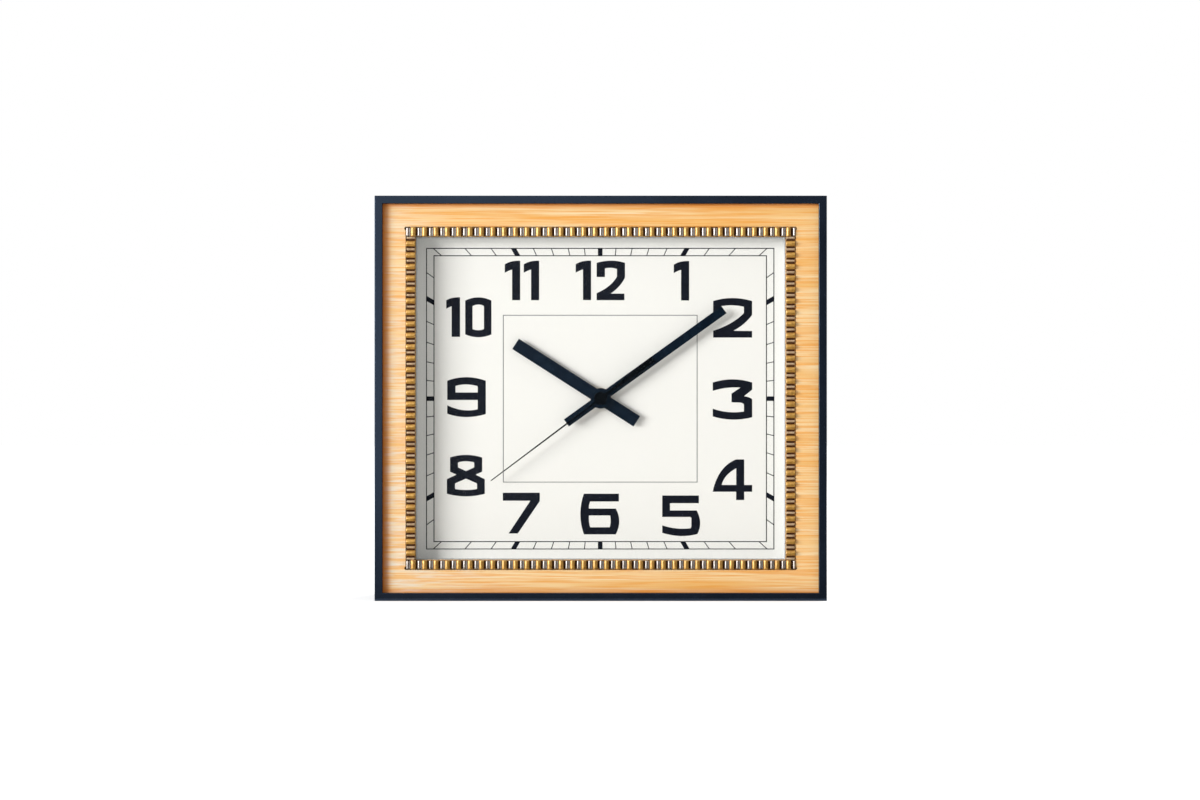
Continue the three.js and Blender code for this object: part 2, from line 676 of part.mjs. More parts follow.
// A toothed outline with a round bore when one is asked for.
function toothed(teeth, size, first, bore = 0) {
  const pitch = Math.PI * 2 / teeth;
  const top = size * (teeth / 2 + TOOTH_TOP);
  const foot = size * (teeth / 2 - TOOTH_FOOT);
  const points = [];
  for (let i = 0; i < teeth; i += 1) {
    const at = first + i * pitch;
    for (const [radius, share] of [
      [foot, -TOOTH_SHARE_FOOT / 2],
      [top, -TOOTH_SHARE_TOP / 2],
      [top, TOOTH_SHARE_TOP / 2],
      [foot, TOOTH_SHARE_FOOT / 2],
    ]) points.push([radius * Math.cos(at + share * pitch), radius * Math.sin(at + share * pitch)]);
  }
  const shape = polygon(points);
  if (bore) shape.holes.push(new THREE.Path().absarc(0, 0, bore, 0, Math.PI * 2));
  return shape;
}

const secondTooth = 0;
const intermediatePinionTooth = meshed(
  TEETH.second, secondTooth, TEETH.intermediatePinion, INTERMEDIATE_DIRECTION);
const rotorTooth = meshed(TEETH.intermediate, 0, TEETH.rotorPinion, ROTOR_DIRECTION);
const thirdTooth = meshed(TEETH.secondPinion, 0, TEETH.third, THIRD_DIRECTION);
const centreTooth = meshed(TEETH.thirdPinion, 0, TEETH.centre, THIRD_DIRECTION + 180);
const minuteTooth = meshed(TEETH.cannon, 0, TEETH.minuteWheel, MINUTE_WHEEL_DIRECTION);
const settingTooth = meshed(TEETH.minuteWheel, minuteTooth, TEETH.setting, SETTING_DIRECTION);
const hourTooth = meshed(TEETH.minutePinion, 0, TEETH.hour, MINUTE_WHEEL_DIRECTION + 180);

function wheel(number, outline, steps = HOLE_STEPS) {
  return plate(outline, layer(number), layer(number) + WHEEL_THICKNESS, steps);
}
function pinion(number, outline) {
  return plate(outline, layer(number) - LAYER_GAP, layer(number + 1), HOLE_STEPS);
}
function rod(radius, near, far) {
  return plate(disc(radius), near, far, HOLE_STEPS);
}
function tube(outer, inner, near, far, steps = TUBE_STEPS) {
  return plate(ring(outer, inner), near, far, steps);
}

const postBore = POST_RADIUS + RUN_CLEARANCE;
const pivotHole = ARBOR_RADIUS + RUN_CLEARANCE;
const pivotFront = FRONT_PLATE - PIVOT_DEPTH;
const pivotRear = coverFront + PIVOT_DEPTH;
const toDial = (depth) => depth - movementFront;

// Hour wheel with its tube
add(movement, 'hour_wheel', joined(
  wheel(1, toothed(TEETH.hour, hourModule, hourTooth, hourBore), TUBE_STEPS),
  tube(hourTube, hourBore, toDial(hourRear), layer(1)),
  tube(hourTube - TUBE_STEP, hourBore, toDial(hourFront), toDial(hourRear)),
), 'white_plastic');

// Cannon pinion: minute tube, pinion and the collar that keeps the centre wheel
const centreBore = minuteTube + RUN_CLEARANCE;
add(movement, 'cannon_pinion', joined(
  wheel(2, toothed(TEETH.cannon, CANNON_MODULE, 0, minuteBore), TUBE_STEPS),
  tube(minuteTube, minuteBore, toDial(minuteRear), layer(2)),
  tube(minuteTube - TUBE_STEP, minuteBore, toDial(minuteFront), toDial(minuteRear)),
  tube(minuteTube, minuteBore, layer(2) + WHEEL_THICKNESS, layer(3) + WHEEL_THICKNESS + LAYER_GAP),
), 'brass');
add(
  movement, 'centre_wheel',
  wheel(3, toothed(TEETH.centre, CENTRE_MODULE, centreTooth, centreBore), TUBE_STEPS), 'brass');

// Minute wheel on its post
add(movement, 'minute_wheel', joined(
  pinion(1, toothed(TEETH.minutePinion, hourModule, 0, postBore)),
  wheel(2, toothed(TEETH.minuteWheel, CANNON_MODULE, minuteTooth, postBore)),
), 'white_plastic', [minuteAt[0], 0, minuteAt[1]]);

// Third wheel on a through arbor
add(movement, 'third_wheel', joined(
  rod(ARBOR_RADIUS, pivotFront + END_PLAY, pivotRear - END_PLAY),
  pinion(3, toothed(TEETH.thirdPinion, CENTRE_MODULE, 0)),
  wheel(4, toothed(TEETH.third, thirdModule, thirdTooth)),
), 'white_plastic', [thirdAt[0], 0, thirdAt[1]]);

// Second wheel: its arbor carries the second hand through both tubes
add(movement, 'second_wheel', joined(
  rod(ARBOR_RADIUS, toDial(secondRear), pivotRear - END_PLAY),
  rod(ARBOR_RADIUS - TUBE_STEP, toDial(secondFront) + FIT_CLEARANCE, toDial(secondRear)),
  pinion(4, toothed(TEETH.secondPinion, thirdModule, 0)),
  wheel(5, toothed(TEETH.second, INTERMEDIATE_MODULE, secondTooth)),
), 'white_plastic');

add(movement, 'intermediate_wheel', joined(
  pinion(5, toothed(TEETH.intermediatePinion, INTERMEDIATE_MODULE, intermediatePinionTooth, postBore)),
  wheel(6, toothed(TEETH.intermediate, ROTOR_MODULE, 0, postBore)),
), 'white_plastic', [intermediateAt[0], 0, intermediateAt[1]]);

add(movement, 'rotor', joined(
  pinion(6, toothed(TEETH.rotorPinion, ROTOR_MODULE, rotorTooth, postBore)),
  tube(MAGNET_RADIUS, postBore, magnetFront, magnetRear, HOLE_STEPS),
), 'dark_magnet', [rotorAt[0], 0, rotorAt[1]]);

// Stator: a rectangular loop with an eye round the rotor
const [rotorX, rotorZ] = rotorAt;
const loopLeft = rotorX - STATOR_LEFT;
const loopRight = rotorX + STATOR_RIGHT;
const loopLow = rotorZ - STATOR_BAR / 2;
const loopHigh = rotorZ + STATOR_RISE;
const loop = box(loopLeft, loopLow, loopRight, loopHigh);
loop.holes.push(box(
  loopLeft + STATOR_BAR, loopLow + STATOR_BAR, loopRight - STATOR_BAR, loopHigh - STATOR_BAR));
add(movement, 'stator', cut(
  joined(
    plate(loop, magnetFront, magnetRear),
    plate(disc(EYE_RADIUS, rotorX, rotorZ), magnetFront, magnetRear),
  ),
  plate(disc(MAGNET_RADIUS + MAGNET_GAP, rotorX, rotorZ), magnetFront - OVERRUN, magnetRear + OVERRUN),
), 'steel');

// Coil: winding and two flanges round the upper bar
const coilMiddle = (loopLeft + loopRight) / 2;
const barMiddle = loopHigh - STATOR_BAR / 2;
const coreHalf = STATOR_BAR / 2 + RUN_CLEARANCE;
const coreNear = magnetFront - RUN_CLEARANCE;
const coreFar = magnetRear + RUN_CLEARANCE;
function coilBlock(left, right, wall) {
  const reachZ = coreHalf + wall;
  const outline = box(left, barMiddle - reachZ, right, barMiddle + reachZ);
  return plate(outline, coreNear - wall, Math.min(coreFar + wall, coverFront));
}
const coilLeft = coilMiddle - COIL_LENGTH / 2;
const coilRight = coilMiddle + COIL_LENGTH / 2;
const flangeWall = Math.min(COIL_WALL + COIL_FLANGE, BOSS_HEIGHT - RUN_CLEARANCE);
const windingWall = Math.min(COIL_WALL, flangeWall - COIL_STEP);
const coreOutline = box(coilLeft - OVERRUN, barMiddle - coreHalf, coilRight + OVERRUN, barMiddle + coreHalf);
add(movement, 'coil', cut(
  joined(
    coilBlock(coilLeft, coilRight, windingWall),
    coilBlock(coilLeft, coilLeft + COIL_FLANGE_LENGTH, flangeWall),
    coilBlock(coilRight - COIL_FLANGE_LENGTH, coilRight, flangeWall),
  ),
  plate(coreOutline, coreNear, coreFar),
), 'copper_wire');

// Circuit board beside the loop, with its crystal
const circuitLeft = -roomX + CIRCUIT_EDGE;
const circuitRight = circuitLeft + CIRCUIT_WIDTH;
const circuitLow = roomLow + CIRCUIT_EDGE;
const circuitRear = coverFront - BOSS_HEIGHT;
const circuitFront = circuitRear - CIRCUIT_THICKNESS;
const circuitX = (circuitLeft + circuitRight) / 2;
const circuitBosses = [circuitLow + CIRCUIT_BOSS_INSET, circuitLow + CIRCUIT_LENGTH - CIRCUIT_BOSS_INSET]
  .map((z) => [circuitX, z]);
const circuitOutline = box(circuitLeft, circuitLow, circuitRight, circuitLow + CIRCUIT_LENGTH);
add(movement, 'circuit_board', plate(circuitOutline, circuitFront, circuitRear), 'circuit_green');
const crystalFlat = CRYSTAL_RADIUS * Math.cos(Math.PI / CRYSTAL_SIDES);
const crystal = new THREE.CylinderGeometry(CRYSTAL_RADIUS, CRYSTAL_RADIUS, CRYSTAL_LENGTH, CRYSTAL_SIDES);
crystal.rotateY(Math.PI / CRYSTAL_SIDES);
crystal.rotateX(Math.PI / 2);
const crystalZ = circuitLow + CIRCUIT_LENGTH / 2;
add(movement, 'quartz_crystal', crystal, 'steel', [circuitX, circuitFront - crystalFlat, crystalZ]);

// Setting pinion and knob
const knobFront = coverRear + KNOB_GAP;
const knobRear = knobFront + KNOB_HEIGHT;
add(movement, 'setting_pinion', joined(
  wheel(2, toothed(TEETH.setting, CANNON_MODULE, settingTooth)),
  rod(SETTING_RADIUS, layer(2) + WHEEL_THICKNESS, knobRear - KNOB_FLOOR),
  rod(ARBOR_RADIUS, pivotFront + END_PLAY, layer(2)),
), 'white_plastic', [settingAt[0], 0, settingAt[1]]);
const grips = [];
for (let i = 0; i < KNOB_GRIPS * 2; i += 1) {
  const radius = i % 2 ? KNOB_RADIUS - KNOB_GRIP_DEPTH : KNOB_RADIUS;
  grips.push([radius * Math.cos(i * Math.PI / KNOB_GRIPS), radius * Math.sin(i * Math.PI / KNOB_GRIPS)]);
}
add(movement, 'setting_knob', cut(
  plate(polygon(grips), knobFront, knobRear),
  rod(SETTING_RADIUS + FIT_CLEARANCE, knobFront - OVERRUN, knobRear - KNOB_FLOOR),
), 'black_plastic', [settingAt[0], 0, settingAt[1]]);

// Shell: gear room above, battery bay below, a step for the cover and a post for the minute wheel
const shellOutline = roundedBox(-shellX, -shellZ, shellX, shellZ, MOVEMENT_RADIUS);
const shell = cut(
  plate(shellOutline, 0, coverRear, CORNER_STEPS),
  plate(box(-roomX, roomLow, roomX, roomZ), FRONT_PLATE, coverRear + OVERRUN),
  plate(box(-roomX, bayLow, roomX, bayHigh), FRONT_PLATE, coverRear + OVERRUN),
  plate(box(-shellX - OVERRUN, bayHigh, shellX + OVERRUN, shellZ + OVERRUN), coverFront, coverRear + OVERRUN),
  plate(disc(BUSH_RADIUS + FIT_CLEARANCE), -OVERRUN, FRONT_PLATE + OVERRUN),
  plate(disc(pivotHole, ...thirdAt), pivotFront, FRONT_PLATE + OVERRUN, HOLE_STEPS),
  plate(disc(pivotHole, ...settingAt), pivotFront, FRONT_PLATE + OVERRUN, HOLE_STEPS),
);
const minutePost = plate(
  disc(POST_RADIUS, ...minuteAt), FRONT_PLATE - POST_ROOT, layer(2) + WHEEL_THICKNESS + END_PLAY, HOLE_STEPS);
add(movement, 'movement_case', joined(shell, minutePost), 'black_plastic');

// Cover with stepped posts, bearing holes and bosses for the stator and the board
function steppedPost([x, z], tip, shoulder) {
  return [
    plate(disc(POST_RADIUS, x, z), tip, coverFront + POST_ROOT, HOLE_STEPS),
    plate(disc(SHOULDER_RADIUS, x, z), shoulder, coverFront + POST_ROOT, HOLE_STEPS),
  ];
}
const statorBosses = [loopLeft + STATOR_BAR / 2, loopRight - STATOR_BAR / 2].map((x) => [x, rotorZ]);
const bosses = [...statorBosses, ...circuitBosses].map(([x, z]) =>
  plate(disc(BOSS_RADIUS, x, z), magnetRear, coverFront + POST_ROOT, HOLE_STEPS));
const roundX = shellX - MOVEMENT_RADIUS;
const roundZ = shellZ - MOVEMENT_RADIUS;
const coverOutline = new THREE.Shape();
coverOutline.moveTo(-shellX, bayHigh + COVER_GAP);
coverOutline.lineTo(shellX, bayHigh + COVER_GAP);
coverOutline.lineTo(shellX, roundZ);
coverOutline.absarc(roundX, roundZ, MOVEMENT_RADIUS, 0, Math.PI / 2);
coverOutline.lineTo(-roundX, shellZ);
coverOutline.absarc(-roundX, roundZ, MOVEMENT_RADIUS, Math.PI / 2, Math.PI);
const settingHole = disc(SETTING_RADIUS + RUN_CLEARANCE, ...settingAt);
add(movement, 'movement_cover', cut(
  joined(
    plate(coverOutline, coverFront, coverRear, CORNER_STEPS),
    ...steppedPost(intermediateAt, layer(5) - LAYER_GAP, layer(6) + WHEEL_THICKNESS + END_PLAY),
    ...steppedPost(rotorAt, layer(6) - LAYER_GAP, magnetRear + END_PLAY),
    ...bosses,
  ),
  plate(disc(pivotHole), coverFront - OVERRUN, pivotRear, HOLE_STEPS),
  plate(disc(pivotHole, ...thirdAt), coverFront - OVERRUN, pivotRear, HOLE_STEPS),
  plate(settingHole, coverFront - OVERRUN, coverRear + OVERRUN, HOLE_STEPS),
), 'black_plastic');

// Threaded bush with a flange inside the shell
add(movement, 'threaded_bush', joined(
  tube(BUSH_RADIUS, bushBore, toDial(nutFront) - FIT_CLEARANCE, FRONT_PLATE),
  tube(BUSH_FLANGE, bushBore, FRONT_PLATE, FRONT_PLATE + FLANGE_HEIGHT),
), 'brass');

// Battery and contacts
const batteryZ = (bayLow + bayHigh) / 2;
const batteryDepth = FRONT_PLATE + BAY_CLEARANCE + BATTERY_RADIUS;
const positiveEnd = roomX - CONTACT_THICKNESS - BATTERY_PLAY;
const can = BATTERY_LENGTH - BUTTON_HEIGHT;
const cell = new THREE.LatheGeometry([
  [0, 0],
  [BATTERY_RADIUS - BATTERY_CHAMFER, 0],
  [BATTERY_RADIUS, BATTERY_CHAMFER],
  [BATTERY_RADIUS, can - BATTERY_CHAMFER],
  [BATTERY_RADIUS - BATTERY_CHAMFER, can],
  [BUTTON_RADIUS, can],
  [BUTTON_RADIUS, BATTERY_LENGTH],
  [0, BATTERY_LENGTH],
].map(([r, y]) => new THREE.Vector2(r, y)), BATTERY_SIDES);
cell.rotateZ(-Math.PI / 2);
add(movement, 'battery', cell, 'battery_label', [positiveEnd - BATTERY_LENGTH, batteryDepth, batteryZ]);

const contactLow = batteryZ - CONTACT_WIDTH / 2;
const contactHigh = batteryZ + CONTACT_WIDTH / 2;
const contactNear = FRONT_PLATE + CONTACT_FRONT_GAP;
const contactFar = coverRear - CONTACT_REAR_GAP;
add(movement, 'contact_positive', plate(
  box(roomX - CONTACT_THICKNESS, contactLow, roomX, contactHigh), contactNear, contactFar), 'steel');

// The negative contact is a strip folded back on itself into a bowed leaf.
const bow = 2 * (LEAF_RISE - CONTACT_THICKNESS) - LEAF_CLEARANCE;
const leaf = new THREE.Shape();
leaf.moveTo(0, contactNear);
leaf.lineTo(CONTACT_THICKNESS, contactNear);
leaf.lineTo(CONTACT_THICKNESS, contactFar - LEAF_FOLD);
const leafStart = contactNear + LEAF_START;
leaf.quadraticCurveTo(bow - CONTACT_THICKNESS, batteryDepth, CONTACT_THICKNESS + LEAF_GAP, leafStart);
leaf.lineTo(2 * CONTACT_THICKNESS + LEAF_GAP, leafStart);
leaf.quadraticCurveTo(bow, batteryDepth, 2 * CONTACT_THICKNESS, contactFar);
leaf.lineTo(0, contactFar);
const leafOptions = { depth: 1, bevelEnabled: false, curveSegments: ROUND_STEPS };
const leafGeometry = new THREE.ExtrudeGeometry(leaf, leafOptions);
const leafPoints = leafGeometry.getAttribute('position');
for (let i = 0; i < leafPoints.count; i += 1) {
  const z = leafPoints.getZ(i) > 0.5 ? contactHigh : contactLow;
  leafPoints.setXYZ(i, leafPoints.getX(i) - roomX, leafPoints.getY(i), z);
}
leafGeometry.computeVertexNormals();
add(movement, 'contact_negative', leafGeometry, 'steel');

export default clock;
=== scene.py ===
# %% [markdown]
# # A wooden clock, dressed in Blender
# The clock is a dark painted box with a pale wood face. A strip of gilt beads and reels runs
# round the opening, and a numbered dial lies behind glass. A quartz movement sits at the back.
# The solids come from a CAD model, which is loaded as a fixed frame. Each piece that is made
# here takes its place from that frame, so it sits where the solid sits.

# %% Load the frame
import json
import math

import bmesh
import bpy
from mathutils import Matrix, Vector

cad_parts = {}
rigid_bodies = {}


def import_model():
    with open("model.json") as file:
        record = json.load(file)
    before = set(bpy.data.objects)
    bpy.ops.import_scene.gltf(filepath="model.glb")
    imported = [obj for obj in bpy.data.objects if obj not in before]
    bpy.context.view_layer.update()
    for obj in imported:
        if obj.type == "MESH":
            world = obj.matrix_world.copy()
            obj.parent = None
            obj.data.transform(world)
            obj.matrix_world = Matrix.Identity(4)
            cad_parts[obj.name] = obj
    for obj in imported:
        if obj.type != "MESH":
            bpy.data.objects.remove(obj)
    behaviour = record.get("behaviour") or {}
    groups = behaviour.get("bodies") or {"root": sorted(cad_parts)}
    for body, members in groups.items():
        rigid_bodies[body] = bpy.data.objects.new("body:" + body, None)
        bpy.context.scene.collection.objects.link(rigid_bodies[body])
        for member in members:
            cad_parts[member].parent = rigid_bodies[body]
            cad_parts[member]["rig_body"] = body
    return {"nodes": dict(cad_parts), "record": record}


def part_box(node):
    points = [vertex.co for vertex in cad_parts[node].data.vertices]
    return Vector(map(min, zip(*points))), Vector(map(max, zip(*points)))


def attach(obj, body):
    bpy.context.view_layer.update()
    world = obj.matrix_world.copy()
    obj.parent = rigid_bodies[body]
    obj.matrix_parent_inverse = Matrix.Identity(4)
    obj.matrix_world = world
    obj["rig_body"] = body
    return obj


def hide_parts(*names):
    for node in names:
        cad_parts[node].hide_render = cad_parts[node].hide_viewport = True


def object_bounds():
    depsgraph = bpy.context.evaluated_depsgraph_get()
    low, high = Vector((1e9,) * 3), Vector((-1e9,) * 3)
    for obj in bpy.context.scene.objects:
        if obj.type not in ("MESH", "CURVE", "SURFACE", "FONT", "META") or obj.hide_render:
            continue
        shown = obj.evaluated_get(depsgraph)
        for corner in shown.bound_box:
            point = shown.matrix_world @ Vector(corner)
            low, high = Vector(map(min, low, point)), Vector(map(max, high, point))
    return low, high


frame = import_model()
cad_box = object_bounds()
slot_of = {part["node"]: part["material_slot"] for part in frame["record"]["subparts"]}
print("CAD nodes:", len(frame["nodes"]), "box:", [list(corner) for corner in cad_box])

# %% [markdown]
# ## Units, colours and nodes
# Blender works in metres here, but a maker thinks in millimetres, so sizes are written in
# millimetres and multiplied by MM. Colours are picked as sRGB hex values, the way they look on
# a screen, while shaders want linear light, so one function turns one into the other.
# A material is a small graph of nodes. One helper adds a node with its settings and links, and
# every finish below is written with it, so that each reads as a list of steps.

# %% Helpers for sizes, colours and nodes
MM = 0.001


def linear(code):
    """An sRGB hex colour as the linear red, green, blue and alpha that shaders take."""
    parts = [int(code[i:i + 2], 16) / 255 for i in (1, 3, 5)]
    return [*(p / 12.92 if p <= 0.04045 else ((p + 0.055) / 1.055) ** 2.4 for p in parts), 1.0]


def per(size):
    """How many repeats of a pattern of this size in millimetres fit in a metre."""
    return 1 / (size * MM)


def add_node(owner, kind, inputs=None, stops=None, **settings):
    """Adds a node with its settings. An input is a value, or the output of another node."""
    tree = owner.node_tree
    made = tree.nodes.new(kind)
    for name, value in settings.items():
        setattr(made, name, value)
    for name, value in (inputs or {}).items():
        if isinstance(value, bpy.types.NodeSocket):
            tree.links.new(value, made.inputs[name])
        else:
            made.inputs[name].default_value = value
    for number, (place, code) in enumerate(stops or []):
        ramp = made.color_ramp.elements
        stop = ramp[number] if number < len(ramp) else ramp.new(place)
        stop.position = place
        stop.color = linear(code)
    return made


def new_material(name):
    """A material with an empty graph, and the place of a point on its piece for patterns."""
    made = bpy.data.materials.new(name)
    made.use_nodes = True
    made.node_tree.nodes.clear()
    return made, add_node(made, "ShaderNodeTexCoord").outputs["Object"]


print("a pattern of 2 mm repeats", per(2), "times in a metre")

# %% [markdown]
# ## Camera
# The photograph looks straight at the dial, with no tilt, and the sides of the case don't show.
# A long lens from a little over a metre gives that flat view, and the thin pale wall round the
# dial still shows by about a millimetre. The focal length follows from the width of the picture
# at the front of the case, which is what one pixel covers times the pixels across.

# %% Place the camera
PICTURE_WIDTH = 1200
PIXEL_SIZE = 0.4994 * MM
CAMERA_DISTANCE = 1200 * MM
SENSOR_WIDTH = 36
VIEW_CENTRE = (-0.35 * MM, 100.4 * MM)

camera_data = bpy.data.cameras.new("front_camera")
camera_data.sensor_width = SENSOR_WIDTH
camera_data.lens = SENSOR_WIDTH * CAMERA_DISTANCE / (PICTURE_WIDTH * PIXEL_SIZE)
camera = bpy.data.objects.new("front_camera", camera_data)
camera.location = (VIEW_CENTRE[0], cad_box[0].y - CAMERA_DISTANCE, VIEW_CENTRE[1])
camera.rotation_euler = (math.pi / 2, 0, 0)
bpy.context.scene.collection.objects.link(camera)
bpy.context.scene.camera = camera
print("focal length", round(camera_data.lens, 2), "mm")

# %% [markdown]
# ## Light
# The dial has a broad soft shadow along its left wall, and the beads are bright on their left
# flanks. So the main light is a large soft box in front on the left, a little above the clock.
# The sky fills in the rest evenly. Both are set so that a colour renders about as it is written.
# A weak second box behind the clock gives shape to the back, which the front view doesn't see.

# %% Soft boxes
CLOCK_MIDDLE = (cad_box[0] + cad_box[1]) / 2


def soft_box(name, azimuth, elevation, distance, width, height, power):
    """An area lamp that faces the middle of the clock. Azimuth 0 is in front, 90 to the left."""
    side = math.radians(azimuth)
    rise = math.radians(elevation)
    away = Vector((-math.sin(side) * math.cos(rise), -math.cos(side) * math.cos(rise), math.sin(rise)))
    data = bpy.data.lights.new(name, "AREA")
    data.shape = "RECTANGLE"
    data.size = width
    data.size_y = height
    data.energy = power
    lamp = bpy.data.objects.new(name, data)
    lamp.location = CLOCK_MIDDLE + away * distance
    lamp.rotation_euler = (-away).to_track_quat("-Z", "Y").to_euler()
    lamp.visible_camera = False
    bpy.context.scene.collection.objects.link(lamp)
    return lamp


key = soft_box(
    "key_soft_box", azimuth=53, elevation=8, distance=4.0, width=2.1, height=1.15, power=162)
rear = soft_box(
    "rear_soft_box", azimuth=215, elevation=35, distance=1.6, width=0.9, height=0.9, power=14)
print("lamps:", key.name, rear.name)

# %% [markdown]
# ## White sky and floor
# The background of the photograph is plain white. A sky that lit the clock at full white would
# be far too strong, so the sky shows white only to the camera and to reflections, and lights the
# clock with a lower value. The floor does the same: a little glow lifts it to white for the
# camera, and the clock's own shadow still darkens it.

# %% Sky
SKY_FILL = 0.5
scene = bpy.context.scene
scene.view_settings.view_transform = "Standard"
sky = bpy.data.worlds.new("white_sky")
sky.use_nodes = True
sky.node_tree.nodes.clear()


def seen_ray(owner):
    """One for a ray that the camera sees, straight, in a reflection or through glass."""
    path = add_node(owner, "ShaderNodeLightPath")
    seen = path.outputs["Is Camera Ray"]
    for kind in ("Is Glossy Ray", "Is Transmission Ray"):
        either = add_node(owner, "ShaderNodeMath", {0: seen, 1: path.outputs[kind]}, operation="MAXIMUM")
        seen = either.outputs[0]
    return seen


glow = add_node(sky, "ShaderNodeMapRange", {"Value": seen_ray(sky), "To Min": SKY_FILL, "To Max": 1.0})
light = add_node(sky, "ShaderNodeBackground", {"Color": linear("#ffffff"), "Strength": glow.outputs[0]})
add_node(sky, "ShaderNodeOutputWorld", {"Surface": light.outputs[0]})
scene.world = sky
print("sky fill", SKY_FILL)

# %% Floor
FLOOR_HALF = 4.0
NEAR_LIFT = 0.5
FAR_LIFT = 0.75
FAR_AWAY = 2.5
floor_paint, spot = new_material("matt_white_floor_paint")
away = add_node(floor_paint, "ShaderNodeVectorMath", {0: spot}, operation="LENGTH").outputs["Value"]
lift = add_node(floor_paint, "ShaderNodeMapRange", {
    "Value": away, "From Max": FAR_AWAY, "To Min": NEAR_LIFT, "To Max": FAR_LIFT})
seen_lift = add_node(
    floor_paint, "ShaderNodeMath", {0: lift.outputs[0], 1: seen_ray(floor_paint)}, operation="MULTIPLY")
paint = add_node(floor_paint, "ShaderNodeBsdfDiffuse", {"Color": linear("#f4f4f3")})
shine = add_node(floor_paint, "ShaderNodeEmission", {"Strength": seen_lift.outputs[0]})
both = add_node(floor_paint, "ShaderNodeAddShader", {0: paint.outputs[0], 1: shine.outputs[0]})
add_node(floor_paint, "ShaderNodeOutputMaterial", {"Surface": both.outputs[0]})

floor_mesh = bpy.data.meshes.new("floor")
floor_corners = [(x * FLOOR_HALF, y * FLOOR_HALF, 0) for x, y in ((-1, -1), (1, -1), (1, 1), (-1, 1))]
floor_mesh.from_pydata(floor_corners, [], [(0, 1, 2, 3)])
floor_mesh.materials.append(floor_paint)
floor = bpy.data.objects.new("floor", floor_mesh)
scene.collection.objects.link(floor)
print("floor", FLOOR_HALF * 2, "m square")

# %% [markdown]
# ## Black card
# In the photograph the painted boards go from slate blue on the left to nearly black on the
# right, and the glass shows no veil. So the room that they mirror is bright on the left and dark
# elsewhere, while a white sky would turn them grey. A photographer holds up a black card for
# this, called a flag. The flag here is folded: one leaf lies on the floor in front of the clock,
# and the other stands behind the camera. It shows in reflections only, so it takes no light from
# the clock, and no view sees it straight on.

# %% Stand the card behind the camera
CARD_LEFT = 0.06
LEAF_LEFT = -0.3
CARD_RIGHT = 4.0
CARD_HEIGHT = 1.5
CARD_DISTANCE = 1.5
CARD_GAP = 1 * MM
card_black = new_material("matt_black_card")[0]
velvet = add_node(card_black, "ShaderNodeBsdfDiffuse", {"Color": linear("#050505")})
add_node(card_black, "ShaderNodeOutputMaterial", {"Surface": velvet.outputs[0]})
flag_mesh = bpy.data.meshes.new("black_card")
flag_front = cad_box[0].y - CARD_GAP
flag_back = cad_box[0].y - CARD_DISTANCE
flag_corners = []
for left, y, z in (
        (LEAF_LEFT, flag_front, CARD_GAP), (CARD_LEFT, flag_back, CARD_GAP),
        (CARD_LEFT, flag_back, CARD_HEIGHT)):
    flag_corners += [(left, y, z), (CARD_RIGHT, y, z)]
flag_mesh.from_pydata(flag_corners, [], [(0, 1, 3, 2), (2, 3, 5, 4)])
flag_mesh.materials.append(card_black)
flag = bpy.data.objects.new("black_card", flag_mesh)
for ray in ("camera", "diffuse", "transmission", "shadow"):
    setattr(flag, "visible_" + ray, False)
scene.collection.objects.link(flag)
print("card", CARD_RIGHT - CARD_LEFT, "m wide")

# %% [markdown]
# ## Adding a piece
# A new piece is a mesh on one of the CAD model's bodies, so that it moves when that body moves.
# It may stand for CAD nodes, which are then hidden. Many pieces need only a softer edge than
# the CAD solid has, because no real edge is perfectly sharp and a thin bright line along it is
# what makes a thing look solid. For those, a copy of the node's mesh gets its flat faces joined
# and its sharp edges rounded by a bevel. The CAD node itself is never changed.

# %% Pieces and eased copies
WELD = 0.002 * MM
FLAT_ANGLE = math.radians(1)
SHARP_ANGLE = math.radians(30)
ROUND_PROFILE = 0.5


def add_piece(name, mesh, body, materials, replaced=()):
    """Puts a mesh in the scene on a body, in place of the CAD nodes that it stands for."""
    for material in materials:
        mesh.materials.append(material)
    piece = bpy.data.objects.new(name, mesh)
    scene.collection.objects.link(piece)
    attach(piece, body)
    if replaced:
        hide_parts(*replaced)
    return piece


def shaded(shape, name, angle=SHARP_ANGLE):
    """A mesh from a bmesh, smooth except along edges that turn more than the angle."""
    bmesh.ops.recalc_face_normals(shape, faces=shape.faces)
    mesh = bpy.data.meshes.new(name)
    shape.to_mesh(mesh)
    shape.free()
    mesh.polygons.foreach_set("use_smooth", [True] * len(mesh.polygons))
    mesh.set_sharp_from_angle(angle=angle)
    return mesh


def firm(mesh):
    """Weights each normal by the area of its faces, so a flat face stays flat by a rounded edge."""
    normals = [Vector() for _ in mesh.vertices]
    for face in mesh.polygons:
        for corner in face.vertices:
            normals[corner] += face.normal * face.area
    mesh.normals_split_custom_set_from_vertices([normal.normalized() for normal in normals])
    return mesh


def rounded(shape, radius, steps=2):
    """Rounds the sharp edges of a bmesh."""
    shape.normal_update()
    sharp = [e for e in shape.edges if len(e.link_faces) == 2 and e.calc_face_angle() > SHARP_ANGLE]
    bmesh.ops.bevel(
        shape, geom=sharp, offset=radius, segments=steps, profile=ROUND_PROFILE, affect="EDGES",
        clamp_overlap=True)


def eased(node, radius, material):
    """A copy of a CAD node with its sharp edges rounded, which stands for the node."""
    shape = bmesh.new()
    shape.from_mesh(frame["nodes"][node].data)
    bmesh.ops.remove_doubles(shape, verts=shape.verts, dist=WELD)
    bmesh.ops.dissolve_limit(shape, angle_limit=FLAT_ANGLE, verts=shape.verts, edges=shape.edges)
    rounded(shape, radius)
    mesh = firm(shaded(shape, node + "_eased", math.pi))
    body = frame["nodes"][node]["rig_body"]
    return add_piece(node + "_eased", mesh, body, [material], [node])


print("slots:", sorted(set(slot_of.values())))

